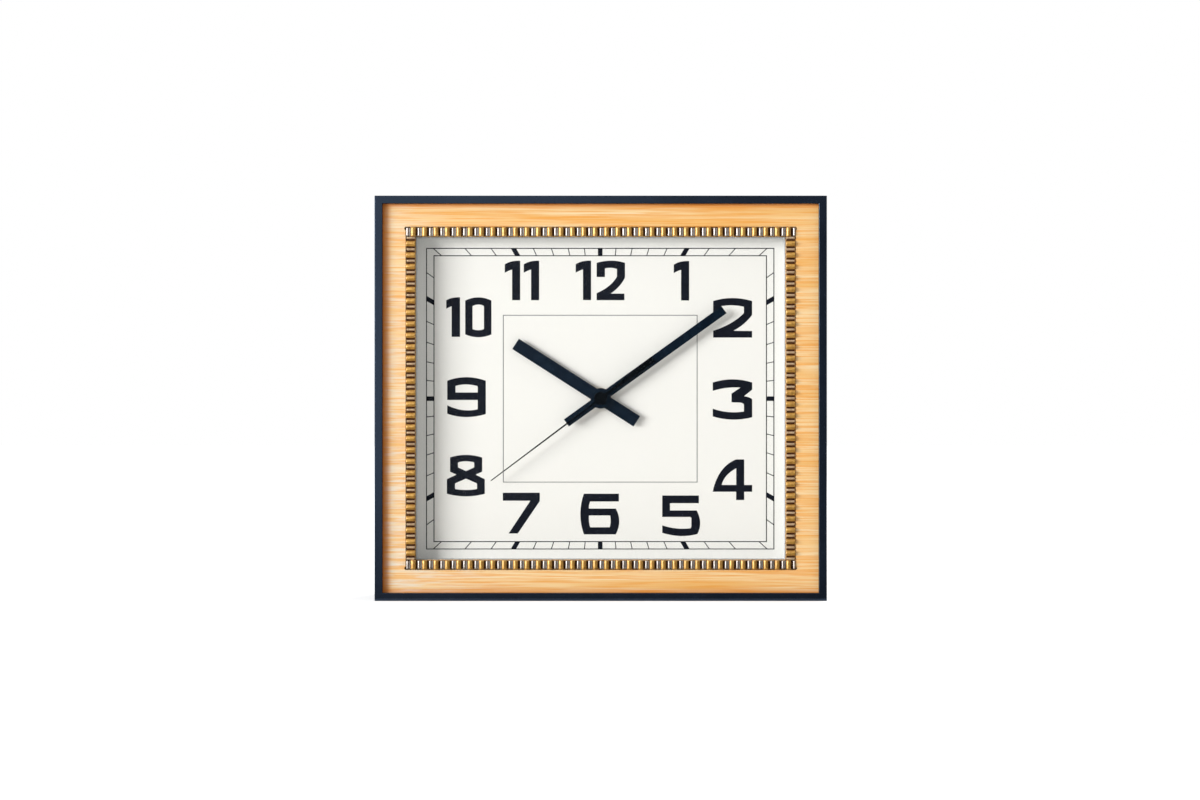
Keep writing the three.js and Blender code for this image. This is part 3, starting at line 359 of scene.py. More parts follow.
# %% [markdown]
# ## Painted case
# Four thin boards, mitred at the corners, filled, sanded and sprayed with a satin navy-black
# paint, so that the box looks like one piece. It could stay four boards, but the joints don't
# show in the photograph. One ring with softly rounded edges gives the clean line that it has.
# Sprayed satin paint has a faint orange-peel ripple about a millimetre wide, and its gloss
# wanders a little, which breaks up the reflection of the soft box.

# %% Satin navy paint
def satin_navy_paint():
    """Sprayed satin paint on sanded wood. Deep blue-black, with a broad soft sheen."""
    made, place = new_material("satin_navy_paint")
    cloud = add_node(made, "ShaderNodeTexNoise", {"Vector": place, "Scale": per(18), "Detail": 3})
    tint = add_node(made, "ShaderNodeValToRGB", {0: cloud.outputs[0]}, [
        (0.3, "#10151e"), (0.7, "#151b26")])
    gloss = add_node(made, "ShaderNodeMapRange", {
        "Value": cloud.outputs[0], "To Min": 0.22, "To Max": 0.28})
    peel = add_node(made, "ShaderNodeTexNoise", {"Vector": place, "Scale": per(1.1), "Detail": 2})
    ripple = add_node(
        made, "ShaderNodeBump", {"Height": peel.outputs[0], "Strength": 0.25, "Distance": 0.05 * MM})
    # The pale blue specular tint paints a blue cast into the sheen; the sky and soft box that the paint
    # mirrors are white.
    shader = add_node(made, "ShaderNodeBsdfPrincipled", {
        "Base Color": tint.outputs[0], "Roughness": gloss.outputs[0], "Normal": ripple.outputs[0],
        "IOR": 1.5, "Specular IOR Level": 0.65, "Specular Tint": linear("#b4d4ff")})
    add_node(made, "ShaderNodeOutputMaterial", {"Surface": shader.outputs[0]})
    return made


navy = satin_navy_paint()
print(navy.name)

# %% Case ring
CASE_WALL = 4 * MM
CASE_ROUND = 0.3 * MM
SIDES = ("top", "bottom", "left", "right")


def rectangle(left, bottom, right, top, depth):
    """The corners of an upright rectangle at one depth."""
    return [(left, depth, bottom), (right, depth, bottom), (right, depth, top), (left, depth, top)]


def box_ring(low, high, wall):
    """Four thin walls that fill a box and leave it open from front to back."""
    shape = bmesh.new()
    loops = []
    for inset, depth in ((0, low.y), (0, high.y), (wall, high.y), (wall, low.y)):
        corners = rectangle(low.x + inset, low.z + inset, high.x - inset, high.z - inset, depth)
        loops.append([shape.verts.new(corner) for corner in corners])
    for near, far in zip(loops, loops[1:] + loops[:1]):
        for i in range(len(near)):
            after = (i + 1) % len(near)
            shape.faces.new((near[i], near[after], far[after], far[i]))
    return shape


case_shape = box_ring(*cad_box, CASE_WALL)
rounded(case_shape, CASE_ROUND, steps=3)
case_mesh = firm(shaded(case_shape, "painted_case", math.pi))
case = add_piece(
    "painted_case", case_mesh, "case", [navy], ["case_" + side for side in SIDES])
print(case.name, len(case.data.polygons), "faces")

# %% [markdown]
# ## Wood face
# One sheet of pale veneered board, with its grain running from side to side on all four arms,
# which says that the opening is sawn out of one sheet. Wood grain is long streaks, so a noise
# pattern is stretched many times along the grain. A broad one gives the warm and pale bands, a
# fine one gives the thin amber lines of the late wood, and a third gives the nearly white stripes
# of sapwood at the left end, which reach further in at the foot. GRAIN_START says where in the
# endless noise the sheet is cut. The lacquer is satin. Along three of the painted boards the wood
# turns a deep orange, widest by the left board: partly lacquer that ran together there while
# wet, and partly painted shade where the board stands above the face.

# %% Lacquered pale veneer
# Length and width of each layer of streaks in millimetres, its detail and its bend.
STREAKS = ((90, 4, 3, 0.3), (34, 0.55, 3, 0.1), (16, 1.3, 3, 0.2))
PALE_REACH = 75 * MM
PALE_SLANT = 0.2
GRAIN_START = 13
# Axis across each band of pooled lacquer and painted shade, the end of the panel where it lies, its
# reach and strength.
LACQUER_POOLS_AND_PAINTED_SHADE = (("X", 0, 4.5 * MM, 1.0), ("Z", 0, 2.5 * MM, 0.6), ("Z", 1, -2.5 * MM, 0.85))


def lacquered_veneer():
    """Flat-cut pale veneer under satin lacquer. Amber streaks on cream, deep orange by the boards as
    pooled lacquer and painted shade.
    """
    made, place = new_material("lacquered_pale_veneer")
    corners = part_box("face_panel")
    axes = add_node(made, "ShaderNodeSeparateXYZ", {0: place})
    layers = []
    for length, width, detail, bend in STREAKS:
        stretch = add_node(made, "ShaderNodeMapping", {
            "Vector": place, "Scale": (per(length), per(length), per(width)),
            "Location": (GRAIN_START, 0, GRAIN_START)})
        streaks = add_node(made, "ShaderNodeTexNoise", {
            "Vector": stretch.outputs[0], "Scale": 1.0, "Detail": detail, "Distortion": bend})
        layers.append(streaks.outputs[0])
    bands = add_node(made, "ShaderNodeValToRGB", {0: layers[0]}, [(0.35, "#efd09f"), (0.65, "#e9b56c")])
    lines = add_node(made, "ShaderNodeMapRange", {
        "Value": layers[1], "From Min": 0.46, "From Max": 0.62, "To Max": 0.85})
    tone = add_node(made, "ShaderNodeMix", {
        0: lines.outputs[0], 6: bands.outputs[0], 7: linear("#e69f4a")}, data_type="RGBA")

    slanted = add_node(made, "ShaderNodeMath", {
        0: axes.outputs["Z"], 1: PALE_SLANT, 2: axes.outputs["X"]}, operation="MULTIPLY_ADD")
    left_end = add_node(made, "ShaderNodeMapRange", {
        "Value": slanted.outputs[0], "From Min": corners[0].x, "From Max": corners[0].x + PALE_REACH,
        "To Min": 1.15, "To Max": 0.0})
    stripes = add_node(made, "ShaderNodeMapRange", {
        "Value": layers[2], "From Min": 0.42, "From Max": 0.66, "To Min": 0.1, "To Max": 0.9})
    sapwood = add_node(
        made, "ShaderNodeMath", {0: left_end.outputs[0], 1: stripes.outputs[0]}, operation="MULTIPLY")
    tone = add_node(made, "ShaderNodeMix", {
        0: sapwood.outputs[0], 6: tone.outputs[2], 7: linear("#e6dcca")}, data_type="RGBA")

    # Deep orange bands by the boards: pooled lacquer, and painted shade where a board stands above the
    # face.
    for axis, end, width, strength in LACQUER_POOLS_AND_PAINTED_SHADE:
        edge = getattr(corners[end], axis.lower())
        pool_and_painted_shade = add_node(made, "ShaderNodeMapRange", {
            "Value": axes.outputs[axis], "From Min": edge, "From Max": edge + width,
            "To Min": strength, "To Max": 0.0})
        tone = add_node(made, "ShaderNodeMix", {
            0: pool_and_painted_shade.outputs[0], 6: tone.outputs[2], 7: linear("#de7a1a")}, data_type="RGBA")
    relief = add_node(made, "ShaderNodeBump", {
        "Height": layers[1], "Strength": 0.2, "Distance": 0.03 * MM})
    shader = add_node(made, "ShaderNodeBsdfPrincipled", {
        "Base Color": tone.outputs[2], "Roughness": 0.42, "Normal": relief.outputs[0], "IOR": 1.5,
        "Specular IOR Level": 0.3})
    add_node(made, "ShaderNodeOutputMaterial", {"Surface": shader.outputs[0]})
    return made


veneer = lacquered_veneer()
print(veneer.name)

# %% [markdown]
# ## Bead-and-reel trim
# The opening is edged with a traditional bead-and-reel strip: wide half-round gilt beads, and
# between each two a narrow pale reel, with dark grooves on both sides. Each could be a sphere
# or a cylinder on a bar, but overlapping solids make a bad mesh. Instead the strip is one
# closed skin, made of cross-sections along its length. The height of a section follows a half
# circle over each bead and reel, and its outline across the strip is a squared-off arch, so
# the ends of the beads are round and the reels are a little shorter than the beads.
# Along the top and bottom, where the light falls along the strip from the left, the left foot of
# each bead and reel is painted with the dark wash as painted shade, and the groove to the right
# of a reel is painted silver as painted light. On the side strips the grooves keep their wash,
# and the reels take a warmer silver that is a painted reflection of the gilt beads beside them.

# %% Gold leaf, silver leaf and wash
def polished_metal(name, bright, deep, roughness):
    """Rubbed metal leaf under varnish. Mottled where the rubbing thinned it, with a soft polish."""
    made, place = new_material(name)
    mottle = add_node(made, "ShaderNodeTexNoise", {"Vector": place, "Scale": per(1.4), "Detail": 3})
    leaf = add_node(made, "ShaderNodeValToRGB", {0: mottle.outputs[0]}, [(0.3, deep), (0.6, bright)])
    gloss = add_node(made, "ShaderNodeMapRange", {
        "Value": mottle.outputs[0], "To Min": roughness - 0.06, "To Max": roughness + 0.06})
    shader = add_node(made, "ShaderNodeBsdfPrincipled", {
        "Base Color": leaf.outputs[0], "Roughness": gloss.outputs[0], "Metallic": 0.5,
        "Coat Weight": 1.0, "Coat Roughness": 0.35})
    add_node(made, "ShaderNodeOutputMaterial", {"Surface": shader.outputs[0]})
    return made


def dull_coat(name, size, deep, pale, roughness, shine):
    """A thin coat of wash, paint or ink. Dull, with a faint mottle where it lies unevenly."""
    made, place = new_material(name)
    mottle = add_node(made, "ShaderNodeTexNoise", {"Vector": place, "Scale": per(size), "Detail": 3})
    tint = add_node(made, "ShaderNodeValToRGB", {0: mottle.outputs[0]}, [(0.3, deep), (0.7, pale)])
    shader = add_node(made, "ShaderNodeBsdfPrincipled", {
        "Base Color": tint.outputs[0], "Roughness": roughness, "Specular IOR Level": shine})
    add_node(made, "ShaderNodeOutputMaterial", {"Surface": shader.outputs[0]})
    return made


gilt = polished_metal("rubbed_gold_leaf", "#dba94e", "#b57f2e", 0.46)
silvered = polished_metal("rubbed_silver_leaf", "#d0cac5", "#b3a89c", 0.42)
# A warmer copy of the silver for the side strips: its warmth is a painted reflection of the gilt beads
# beside the reels.
silver_painted_gold_reflection = polished_metal("silver_leaf_painted_gold_reflection", "#dbc2a0", "#bda27f", 0.42)
# Umber wash is dry and nearly black, and makes the grooves look deep.
wash = dull_coat("umber_wash", 0.8, "#34190b", "#4c2a12", 0.7, 0.1)
print(gilt.name, silvered.name, silver_painted_gold_reflection.name, wash.name)

# %% Bead strips
BEAD_PITCH = 5.71 * MM
BEAD_RISE = 1.8 * MM
REEL_WIDTH = 1.3 * MM
REEL_RISE = 1.1 * MM
GROOVE_WIDTH = 0.8 * MM
STRIP_BASE = 2 * MM
REEL_INSET = 0.3 * MM
BEAD_STEPS = 14
REEL_STEPS = 8
ARCH_STEPS = 14
ARCH_POWER = 0.25
END_POWER = 3
GILT, SILVER, WASH = range(3)
# Steps at the left foot of a bead and of a reel that get the dark wash as painted shade on the top and
# bottom strips.
PAINTED_SHADE_STEPS = {GILT: 3, SILVER: 2}


def strip_sections(length, half_width, painted_light_from_left):
    """Sections along a strip: place, half width, height above the floor and the finish after it.

    Where the light from the left is painted, the left foot of each swell gets the wash as painted shade,
    and the groove after a reel gets silver as painted light.
    """
    count = round((length - REEL_WIDTH) / BEAD_PITCH)
    pitch = (length - REEL_WIDTH) / count
    bead_half = (pitch - REEL_WIDTH) / 2 - GROOVE_WIDTH
    reel_half = half_width - REEL_INSET
    sections = []
    for i in range(count + 1):
        reel = -length / 2 + REEL_WIDTH / 2 + i * pitch
        swells = [(reel, REEL_WIDTH / 2, REEL_RISE, reel_half, REEL_STEPS, SILVER)]
        if i < count:
            swells.append((reel + pitch / 2, bead_half, BEAD_RISE, half_width, BEAD_STEPS, GILT))
        for middle, half, rise, wide, steps, finish in swells:
            for step in range(steps + 1):
                turn = math.pi * step / steps
                side = wide - REEL_INSET * (1 - math.sin(turn)) ** END_POWER
                after = finish if step < steps else WASH
                # Top and bottom strips: painted shade at the left foot of each swell, painted light
                # (silver) in the groove after a reel.
                if painted_light_from_left and step < PAINTED_SHADE_STEPS[finish]:
                    after = WASH
                elif painted_light_from_left and finish == SILVER:
                    after = SILVER
                sections.append((middle - half * math.cos(turn), side, rise * math.sin(turn), after))
    return sections


def bead_strip(name, node, along_x):
    """One strip as a closed skin in the place of its CAD node."""
    low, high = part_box(node)
    middle = (low + high) / 2
    length = high.x - low.x if along_x else high.z - low.z
    half_width = (high.z - low.z if along_x else high.x - low.x) / 2
    floor_y = high.y - STRIP_BASE
    arch = [math.pi * step / ARCH_STEPS for step in range(ARCH_STEPS + 1)]
    shape = bmesh.new()
    rings = []
    finishes = []
    for place, side, rise, finish in strip_sections(length, half_width, along_x):
        profile = [(-side, high.y)]
        for turn in arch:
            across = -math.copysign(abs(math.cos(turn)) ** ARCH_POWER, math.cos(turn)) * side
            profile.append((across, floor_y - rise * max(0, math.sin(turn)) ** ARCH_POWER))
        profile.append((side, high.y))
        if along_x:
            ring = [(middle.x + place, y, middle.z + across) for across, y in profile]
        else:
            ring = [(middle.x + across, y, middle.z + place) for across, y in profile]
        rings.append([shape.verts.new(point) for point in ring])
        finishes.append(finish)
    last = len(rings[0]) - 1
    for near, far, finish in zip(rings, rings[1:], finishes):
        for i in range(last + 1):
            after = (i + 1) % (last + 1)
            face = shape.faces.new((near[i], near[after], far[after], far[i]))
            face.material_index = finish if 0 < i < last - 1 else WASH
    for ring in (rings[0], rings[-1]):
        shape.faces.new(ring).material_index = WASH
    # The side strips take the silver whose warmth is a painted reflection of the gold beads.
    leaf = silvered if along_x else silver_painted_gold_reflection
    return add_piece(name, shaded(shape, name), "case", [gilt, leaf, wash], [node])


for side in SIDES:
    strip = bead_strip("bead_strip_" + side, "bead_trim_" + side, side in ("top", "bottom"))
    print(strip.name, len(strip.data.polygons), "faces")

# %% [markdown]
# ## Dial
# A sheet of matt card, printed in black. The paper has a very faint tooth, too fine to see from
# a step away, so it is drawn a little coarser than it is. The rails round it are painted pale
# grey, and a coat of the same paint covers the sawn edge of the wood behind the glass.

# %% Dial card and rail paint
def printed_card():
    """Matt coated card. Warm white, with a faint tooth."""
    made, place = new_material("matt_dial_card")
    tooth = add_node(made, "ShaderNodeTexNoise", {"Vector": place, "Scale": per(0.9), "Detail": 4})
    tint = add_node(made, "ShaderNodeValToRGB", {0: tooth.outputs[0]}, [
        (0.3, "#f9f8f2"), (0.7, "#fcfbf5")])
    grain = add_node(made, "ShaderNodeBump", {
        "Height": tooth.outputs[0], "Strength": 0.1, "Distance": 0.02 * MM})
    shader = add_node(made, "ShaderNodeBsdfPrincipled", {
        "Base Color": tint.outputs[0], "Roughness": 0.65, "Normal": grain.outputs[0]})
    add_node(made, "ShaderNodeOutputMaterial", {"Surface": shader.outputs[0]})
    return made


card = printed_card()
# Eggshell paint brushed on wood has a low sheen, so the rails look soft and even.
eggshell = dull_coat("pale_grey_eggshell_paint", 2.5, "#bbbec1", "#c4c7ca", 0.5, 0.5)
print(card.name, eggshell.name)

# %% Painted edge of the opening
EDGE_COAT = 0.06 * MM
edge_low = Vector((
    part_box("bead_trim_left")[1].x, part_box("front_glass")[1].y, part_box("bead_trim_bottom")[1].z))
edge_high = Vector((
    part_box("bead_trim_right")[0].x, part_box("face_panel")[1].y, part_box("bead_trim_top")[0].z))
edge_mesh = shaded(box_ring(edge_low, edge_high, EDGE_COAT), "painted_opening_edge")
edge = add_piece("painted_opening_edge", edge_mesh, "case", [eggshell])
print(edge.name, "from", round(edge_low.y / MM, 2), "to", round(edge_high.y / MM, 2), "mm deep")

# %% [markdown]
# ## Printed numbers
# The figures are wide and square, with flat arcs for tops and feet. A font could set plain
# numbers, but none has this shape, so each figure is drawn on a grid of half-millimetre squares:
# straight strokes as corners, and each bowed stroke as a curve through one middle point. Blender
# fills flat outlines well as 2D curves, with inner outlines as holes, so each set of outlines is
# filled as a curve, given the thickness of a layer of ink and turned upright onto the dial.
# The print isn't quite in the middle of its card. It sits about a quarter of a millimetre to the
# left and a little low.

# %% Ink
# Screen-printed ink is dull, with a slightly uneven cover, so the figures look flat and blue-black.
ink = dull_coat("blue_black_screen_ink", 1.5, "#0e121c", "#141926", 0.75, 0.12)
print(ink.name)

# %% Figures on the grid
GRID = 0.505 * MM
CURVE_STEPS = 8
FIGURE_SQUARES = 40


def via(x, y):
    """A point in the middle of a bowed stroke."""
    return (x, y, "bow")


ONE = [[
    (0, 3.6), via(7, 0.7), (15.4, 0), (15.4, 39.5), (7.3, 39.5), (7.3, 8.8), via(3.8, 10.1), (0, 12.1)]]
SLIM_ONE = [[
    (0, 3), via(6, 0.6), (13.8, 0), (13.8, 39.6), (5.4, 39.6), (5.4, 8.8), via(2.8, 10), (0, 11.4)]]
SLIM_TWO = [[
    (0, 2.2), via(14.6, 0), (28.4, 2.2), (28.4, 16.8), via(22.6, 25.6), (14, 33), (27.8, 33),
    (27.8, 39.6), (0, 39.6), (0, 32.6), via(12.2, 25.4), (20.3, 16.2), (20.3, 8.4), via(14.5, 7.2),
    (8.3, 7.8), (8.3, 16.4), (0, 16.4)]]
TWO = [[
    (0, 3), via(19.2, 0), (39, 3), (39, 16.9), via(31, 25.6), (20.3, 32.8), (39, 33), (39, 39.6),
    (0, 39.6), (0, 32.8), via(17.6, 25.2), (30.8, 15.1), (30.8, 8.8), via(19.2, 7.3), (8, 8.2),
    (8, 16), (0, 16)]]
THREE = [[
    (0, 3.2), via(19.8, 0), (39.5, 3.2), (39.5, 10.4), (31.2, 17), via(35.8, 17.9), (39.5, 20),
    (39.5, 38), via(19.8, 40.4), (0, 37.2), (0, 29.4), via(15.6, 32.8), (31.2, 32.3), (31.2, 25.2),
    via(29.4, 23.8), (26.6, 23.3), (18.8, 23), (18.8, 14.3), (27.8, 8.3), via(13.8, 8.6), (0, 11.6)]]
FOUR = [
    [(23.4, 0), (31.6, 0), (31.6, 25.6), (39.6, 25.6), (39.6, 32.4), (31.6, 32.4), (31.6, 40.7),
     (23.5, 40.7), (23.5, 32.4), (0, 32.4), via(8.6, 11.6)],
    [(23.6, 8.8), (23.6, 25.6), (9, 25.6), via(13.8, 16.4)]]
FIVE = [[
    (0, 0), (36.7, 0), (36.7, 7.7), (7.8, 7.7), (7.8, 15), (34.6, 15), via(38, 27.2), (35.2, 38.6),
    via(18, 40.6), (0, 37.4), (0, 29.9), via(14.4, 33), (28.5, 32.8), (29.2, 31), (29.2, 22.5),
    (28, 21.5), (0, 21.5)]]
SIX = [
    [(3.5, 0), (38.6, 0), (38.6, 7.8), (9.8, 7.8), via(8.8, 11.4), (8.5, 14.9), (35.5, 14.9),
     via(39, 27.5), (35.5, 40.7), (3.5, 40.7), via(0, 20.4)],
    [(8.6, 21.8), (29.9, 21.8), via(30.3, 27.8), (29.5, 33.6), (9.8, 33.6), via(8.7, 27.8)]]
SEVEN = [[(0, 0), (37, 0), (37, 8.4), (15, 40.8), (5.8, 40.8), (27.6, 8), (0, 8)]]
EIGHT = [
    [(3.2, 2.6), via(19.2, 0), (35.4, 2.6), (35.4, 16.8), (28.8, 19.8), (38, 24.4), (38, 39),
     via(19.2, 41.6), (0, 39), (0, 24.4), (9.6, 19.8), (3.2, 16.8)],
    [(11.2, 7.6), via(19.2, 6.4), (27.4, 7.6), (27.4, 12.6), (19.2, 16.2), (11.2, 12.6)],
    [(19.2, 23.8), (30.2, 28.6), (30.2, 34.2), via(19.2, 35.2), (8.2, 34.2), (8.2, 28.6)]]
NINE = [
    [(0, 3.6), via(19.2, 0), (38.6, 3.6), (38.6, 37), via(18.8, 40), (0, 36.7), (0, 28.2), via(15.6, 33),
     (30.5, 32.2), (30.5, 22.9), (0, 22.9)],
    [(8.3, 8.8), via(19.2, 7.3), (30.5, 9.1), (30.5, 15.4), (8.3, 15.4)]]
NOUGHT = [
    [(0, 3.2), via(13.2, 0), (26.2, 3.2), (26.2, 37.2), via(13.2, 40), (0, 37.2)],
    [(7.3, 8.8), via(13.2, 7.2), (18.7, 8.8), (18.7, 31.8), via(13.2, 33), (7.3, 31.8)]]

# Each figure with the left and top of its box, in millimetres from the middle of the print.
DIAL_FIGURES = [
    (ONE, -48.25, 69.75), (ONE, -38.65, 69.75),
    (ONE, -12.4, 69.8), (SLIM_TWO, -1.8, 69.8),
    (ONE, 37.2, 69.6),
    (TWO, 57.1, 50.9),
    (THREE, 56.9, 9.8),
    (FOUR, 56.85, -30.7),
    (FIVE, 31.35, -48.95),
    (SIX, -10.05, -48.05),
    (SEVEN, -49.25, -47.55),
    (EIGHT, -77.55, -28.4),
    (NINE, -77.35, 10.9),
    (SLIM_ONE, -77.85, 51.25), (NOUGHT, -68.25, 51.25),
]


def traced(points):
    """An outline with each bowed stroke drawn as a curve through its middle point."""
    made = []
    for i, point in enumerate(points):
        if len(point) == 2:
            made.append(point)
            continue
        start = Vector(points[i - 1])
        end = Vector(points[(i + 1) % len(points)])
        pull = 2 * Vector(point[:2]) - (start + end) / 2
        for step in range(1, CURVE_STEPS):
            t = step / CURVE_STEPS
            made.append(tuple((1 - t) ** 2 * start + 2 * t * (1 - t) * pull + t ** 2 * end))
    return made


print(len(DIAL_FIGURES), "figures, about", round(FIGURE_SQUARES * GRID / MM, 1), "mm high")

# %% Filling outlines
INK_DEPTH = 0.04 * MM
PRINT_SHIFT = Vector((-0.25 * MM, 0, -0.18 * MM))
dial_low, dial_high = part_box("dial_face")
PRINT_MIDDLE = (dial_low + dial_high) / 2 + PRINT_SHIFT


def filled(shape, outlines):
    """Adds flat outlines, in metres from the middle of the print, to a bmesh as a layer of ink."""
    data = bpy.data.curves.new("outline", "CURVE")
    data.dimensions = "2D"
    data.fill_mode = "BOTH"
    data.extrude = INK_DEPTH / 2
    for points in outlines:
        spline = data.splines.new("POLY")
        spline.points.add(len(points) - 1)
        for target, (x, y) in zip(spline.points, points):
            target.co = (x, y, 0, 1)
        spline.use_cyclic_u = True
    holder = bpy.data.objects.new("outline", data)
    mesh = bpy.data.meshes.new_from_object(holder)
    mesh.transform(Matrix.Rotation(math.pi / 2, 4, "X"))
    mesh.transform(Matrix.Translation((PRINT_MIDDLE.x, dial_low.y - INK_DEPTH / 2, PRINT_MIDDLE.z)))
    shape.from_mesh(mesh)
    bpy.data.objects.remove(holder)
    bpy.data.curves.remove(data)
    bpy.data.meshes.remove(mesh)


def print_on_dial(name, groups):
    """One layer of ink made of groups of outlines."""
    shape = bmesh.new()
    for outlines in groups:
        filled(shape, outlines)
    bmesh.ops.remove_doubles(shape, verts=shape.verts, dist=WELD)
    return add_piece(name, shaded(shape, name), "case", [ink])


figures = []
for outlines, left, top in DIAL_FIGURES:
    figures.append([
        [(left * MM + x * GRID, top * MM - y * GRID) for x, y in traced(outline)]
        for outline in outlines])
numbers = print_on_dial("printed_numbers", figures)
print(numbers.name, len(numbers.data.polygons), "faces")

# %% [markdown]
# ## Minute track
# Two thin rectangles make a band round the dial, and sixty marks cross the band. Each mark lies
# on a line through the middle of the dial, so it leans more towards the corners, and the band
# cuts its ends off flush. Every fifth mark is a broad one. A third rectangle frames the middle.

# %% Track, marks and frame
TRACK_OUTER = (87.82 * MM, 76.0 * MM)
TRACK_INNER = (84.04 * MM, 72.27 * MM)
MIDDLE_FRAME = (49.0 * MM, 42.19 * MM)
TRACK_LINE = 0.46 * MM
FRAME_LINE = 0.3 * MM
MINUTE_LINE = 0.42 * MM
HOUR_LINE = 2.3 * MM
MINUTES = 60
MARKS_PER_HOUR = 5
NEARLY_ZERO = 1e-9


def frame_line(half, line):
    """A rectangle drawn with a line of one width, as an outer and an inner outline."""
    outlines = []
    for grow in (line / 2, -line / 2):
        x = half[0] + grow
        z = half[1] + grow
        outlines.append([(-x, -z), (x, -z), (x, z), (-x, z)])
    return outlines


def meets(start, way, half):
    """Where a line from near the middle first meets a rectangle."""
    reach = min(
        (math.copysign(half[k], way[k]) - start[k]) / way[k] for k in (0, 1)
        if abs(way[k]) > NEARLY_ZERO)
    return (start[0] + way[0] * reach, start[1] + way[1] * reach)


def minute_mark(number):
    """One mark of the track, cut off by the two rectangles."""
    turn = 2 * math.pi * number / MINUTES
    way = (math.sin(turn), math.cos(turn))
    half = (MINUTE_LINE if number % MARKS_PER_HOUR else HOUR_LINE) / 2
    left = (-way[1] * half, way[0] * half)
    right = (way[1] * half, -way[0] * half)
    return [
        meets(left, way, TRACK_INNER), meets(right, way, TRACK_INNER),
        meets(right, way, TRACK_OUTER), meets(left, way, TRACK_OUTER)]


track = print_on_dial("printed_minute_track", [
    frame_line(TRACK_OUTER, TRACK_LINE),
    frame_line(TRACK_INNER, TRACK_LINE),
    frame_line(MIDDLE_FRAME, FRAME_LINE),
    *[[minute_mark(number)] for number in range(MINUTES)]])
print(track.name, len(track.data.polygons), "faces")

# %% [markdown]
# ## Hands
# Flat bars of aluminium sheet, stamped and enamelled, the hour and minute hands in navy and the
# second hand in black. The CAD solids have the right shape. Stamping leaves a slightly rounded
# edge, and the raised hub of the minute hand has the largest radius, which catches a thin blue
# light on its left. So eased copies stand for them.

# %% Stoved enamel
def stoved_enamel(name, pale, deep, shine):
    """Stoved enamel on aluminium. Satin, very smooth and dark, with little reflection."""
    made, place = new_material(name)
    cloud = add_node(made, "ShaderNodeTexNoise", {"Vector": place, "Scale": per(6), "Detail": 2})
    tint = add_node(made, "ShaderNodeValToRGB", {0: cloud.outputs[0]}, [(0.3, deep), (0.7, pale)])
    gloss = add_node(made, "ShaderNodeMapRange", {
        "Value": cloud.outputs[0], "To Min": 0.24, "To Max": 0.3})
    # The pale blue specular tint paints a blue cast into the reflection; what the enamel mirrors is
    # white.
    shader = add_node(made, "ShaderNodeBsdfPrincipled", {
        "Base Color": tint.outputs[0], "Roughness": gloss.outputs[0], "Specular IOR Level": shine,
        "Specular Tint": linear("#b4d4ff")})
    add_node(made, "ShaderNodeOutputMaterial", {"Surface": shader.outputs[0]})
    return made


navy_enamel = stoved_enamel("stoved_navy_enamel", "#0c1a27", "#08131f", 0.2)
black_enamel = stoved_enamel("stoved_black_enamel", "#040506", "#020304", 0.1)
print(navy_enamel.name, black_enamel.name)

# %% Eased hands
HANDS = (
    ("hour_hand", 0.16 * MM, navy_enamel),
    ("minute_hand", 0.28 * MM, navy_enamel),
    ("second_hand", 0.12 * MM, black_enamel))
for hand, radius, enamel in HANDS:
    print(eased(hand, radius, enamel).name)

# %% [markdown]
# ## Glass
# A sheet of plain float glass. Real refraction would stop the lamps from lighting the dial, so
# the sheet is a clear film that lets most light through and keeps a thin polished reflection.

# %% Clear float glass
def float_glass():
    """Polished float glass, two millimetres thick. Nearly invisible from the front."""
    made, place = new_material("clear_float_glass")
    haze = add_node(made, "ShaderNodeTexNoise", {"Vector": place, "Scale": per(60), "Detail": 2})
    tint = add_node(made, "ShaderNodeValToRGB", {0: haze.outputs[0]}, [
        (0.3, "#0a100e"), (0.7, "#101614")])
    shader = add_node(made, "ShaderNodeBsdfPrincipled", {
        "Base Color": tint.outputs[0], "Roughness": 0.02, "IOR": 1.5, "Alpha": 0.04})
    add_node(made, "ShaderNodeOutputMaterial", {"Surface": shader.outputs[0]})
    return made


glass = float_glass()
print(glass.name)

# %% [markdown]
# ## Metals and plastics of the movement and the fixings
# The back of the clock holds zinc-plated screws and a hanger plate, a black moulded movement,
# brass and acetal wheels and an AA cell. Most keep their CAD shape, so one loop gives each
# node the finish of its slot in the record.

# %% Metals
def turned_metal(name, bright, deep, roughness, grain):
    """Plated or turned metal. A cloud of fine grain shifts its tint and its gloss."""
    made, place = new_material(name)
    cloud = add_node(made, "ShaderNodeTexNoise", {"Vector": place, "Scale": per(grain), "Detail": 4})
    tint = add_node(made, "ShaderNodeValToRGB", {0: cloud.outputs[0]}, [(0.35, deep), (0.65, bright)])
    gloss = add_node(made, "ShaderNodeMapRange", {
        "Value": cloud.outputs[0], "To Min": roughness - 0.08, "To Max": roughness + 0.08})
    shader = add_node(made, "ShaderNodeBsdfPrincipled", {
        "Base Color": tint.outputs[0], "Roughness": gloss.outputs[0], "Metallic": 1.0})
    add_node(made, "ShaderNodeOutputMaterial", {"Surface": shader.outputs[0]})
    return made


zinc = turned_metal("bright_zinc_plate", "#c9ccd0", "#b3b7bc", 0.34, 2.2)
brass = turned_metal("turned_brass", "#d8b465", "#c49d4b", 0.28, 1.2)
copper = turned_metal("enamelled_copper_wire", "#b8683a", "#9a4f28", 0.35, 0.6)
print(zinc.name, brass.name, copper.name)

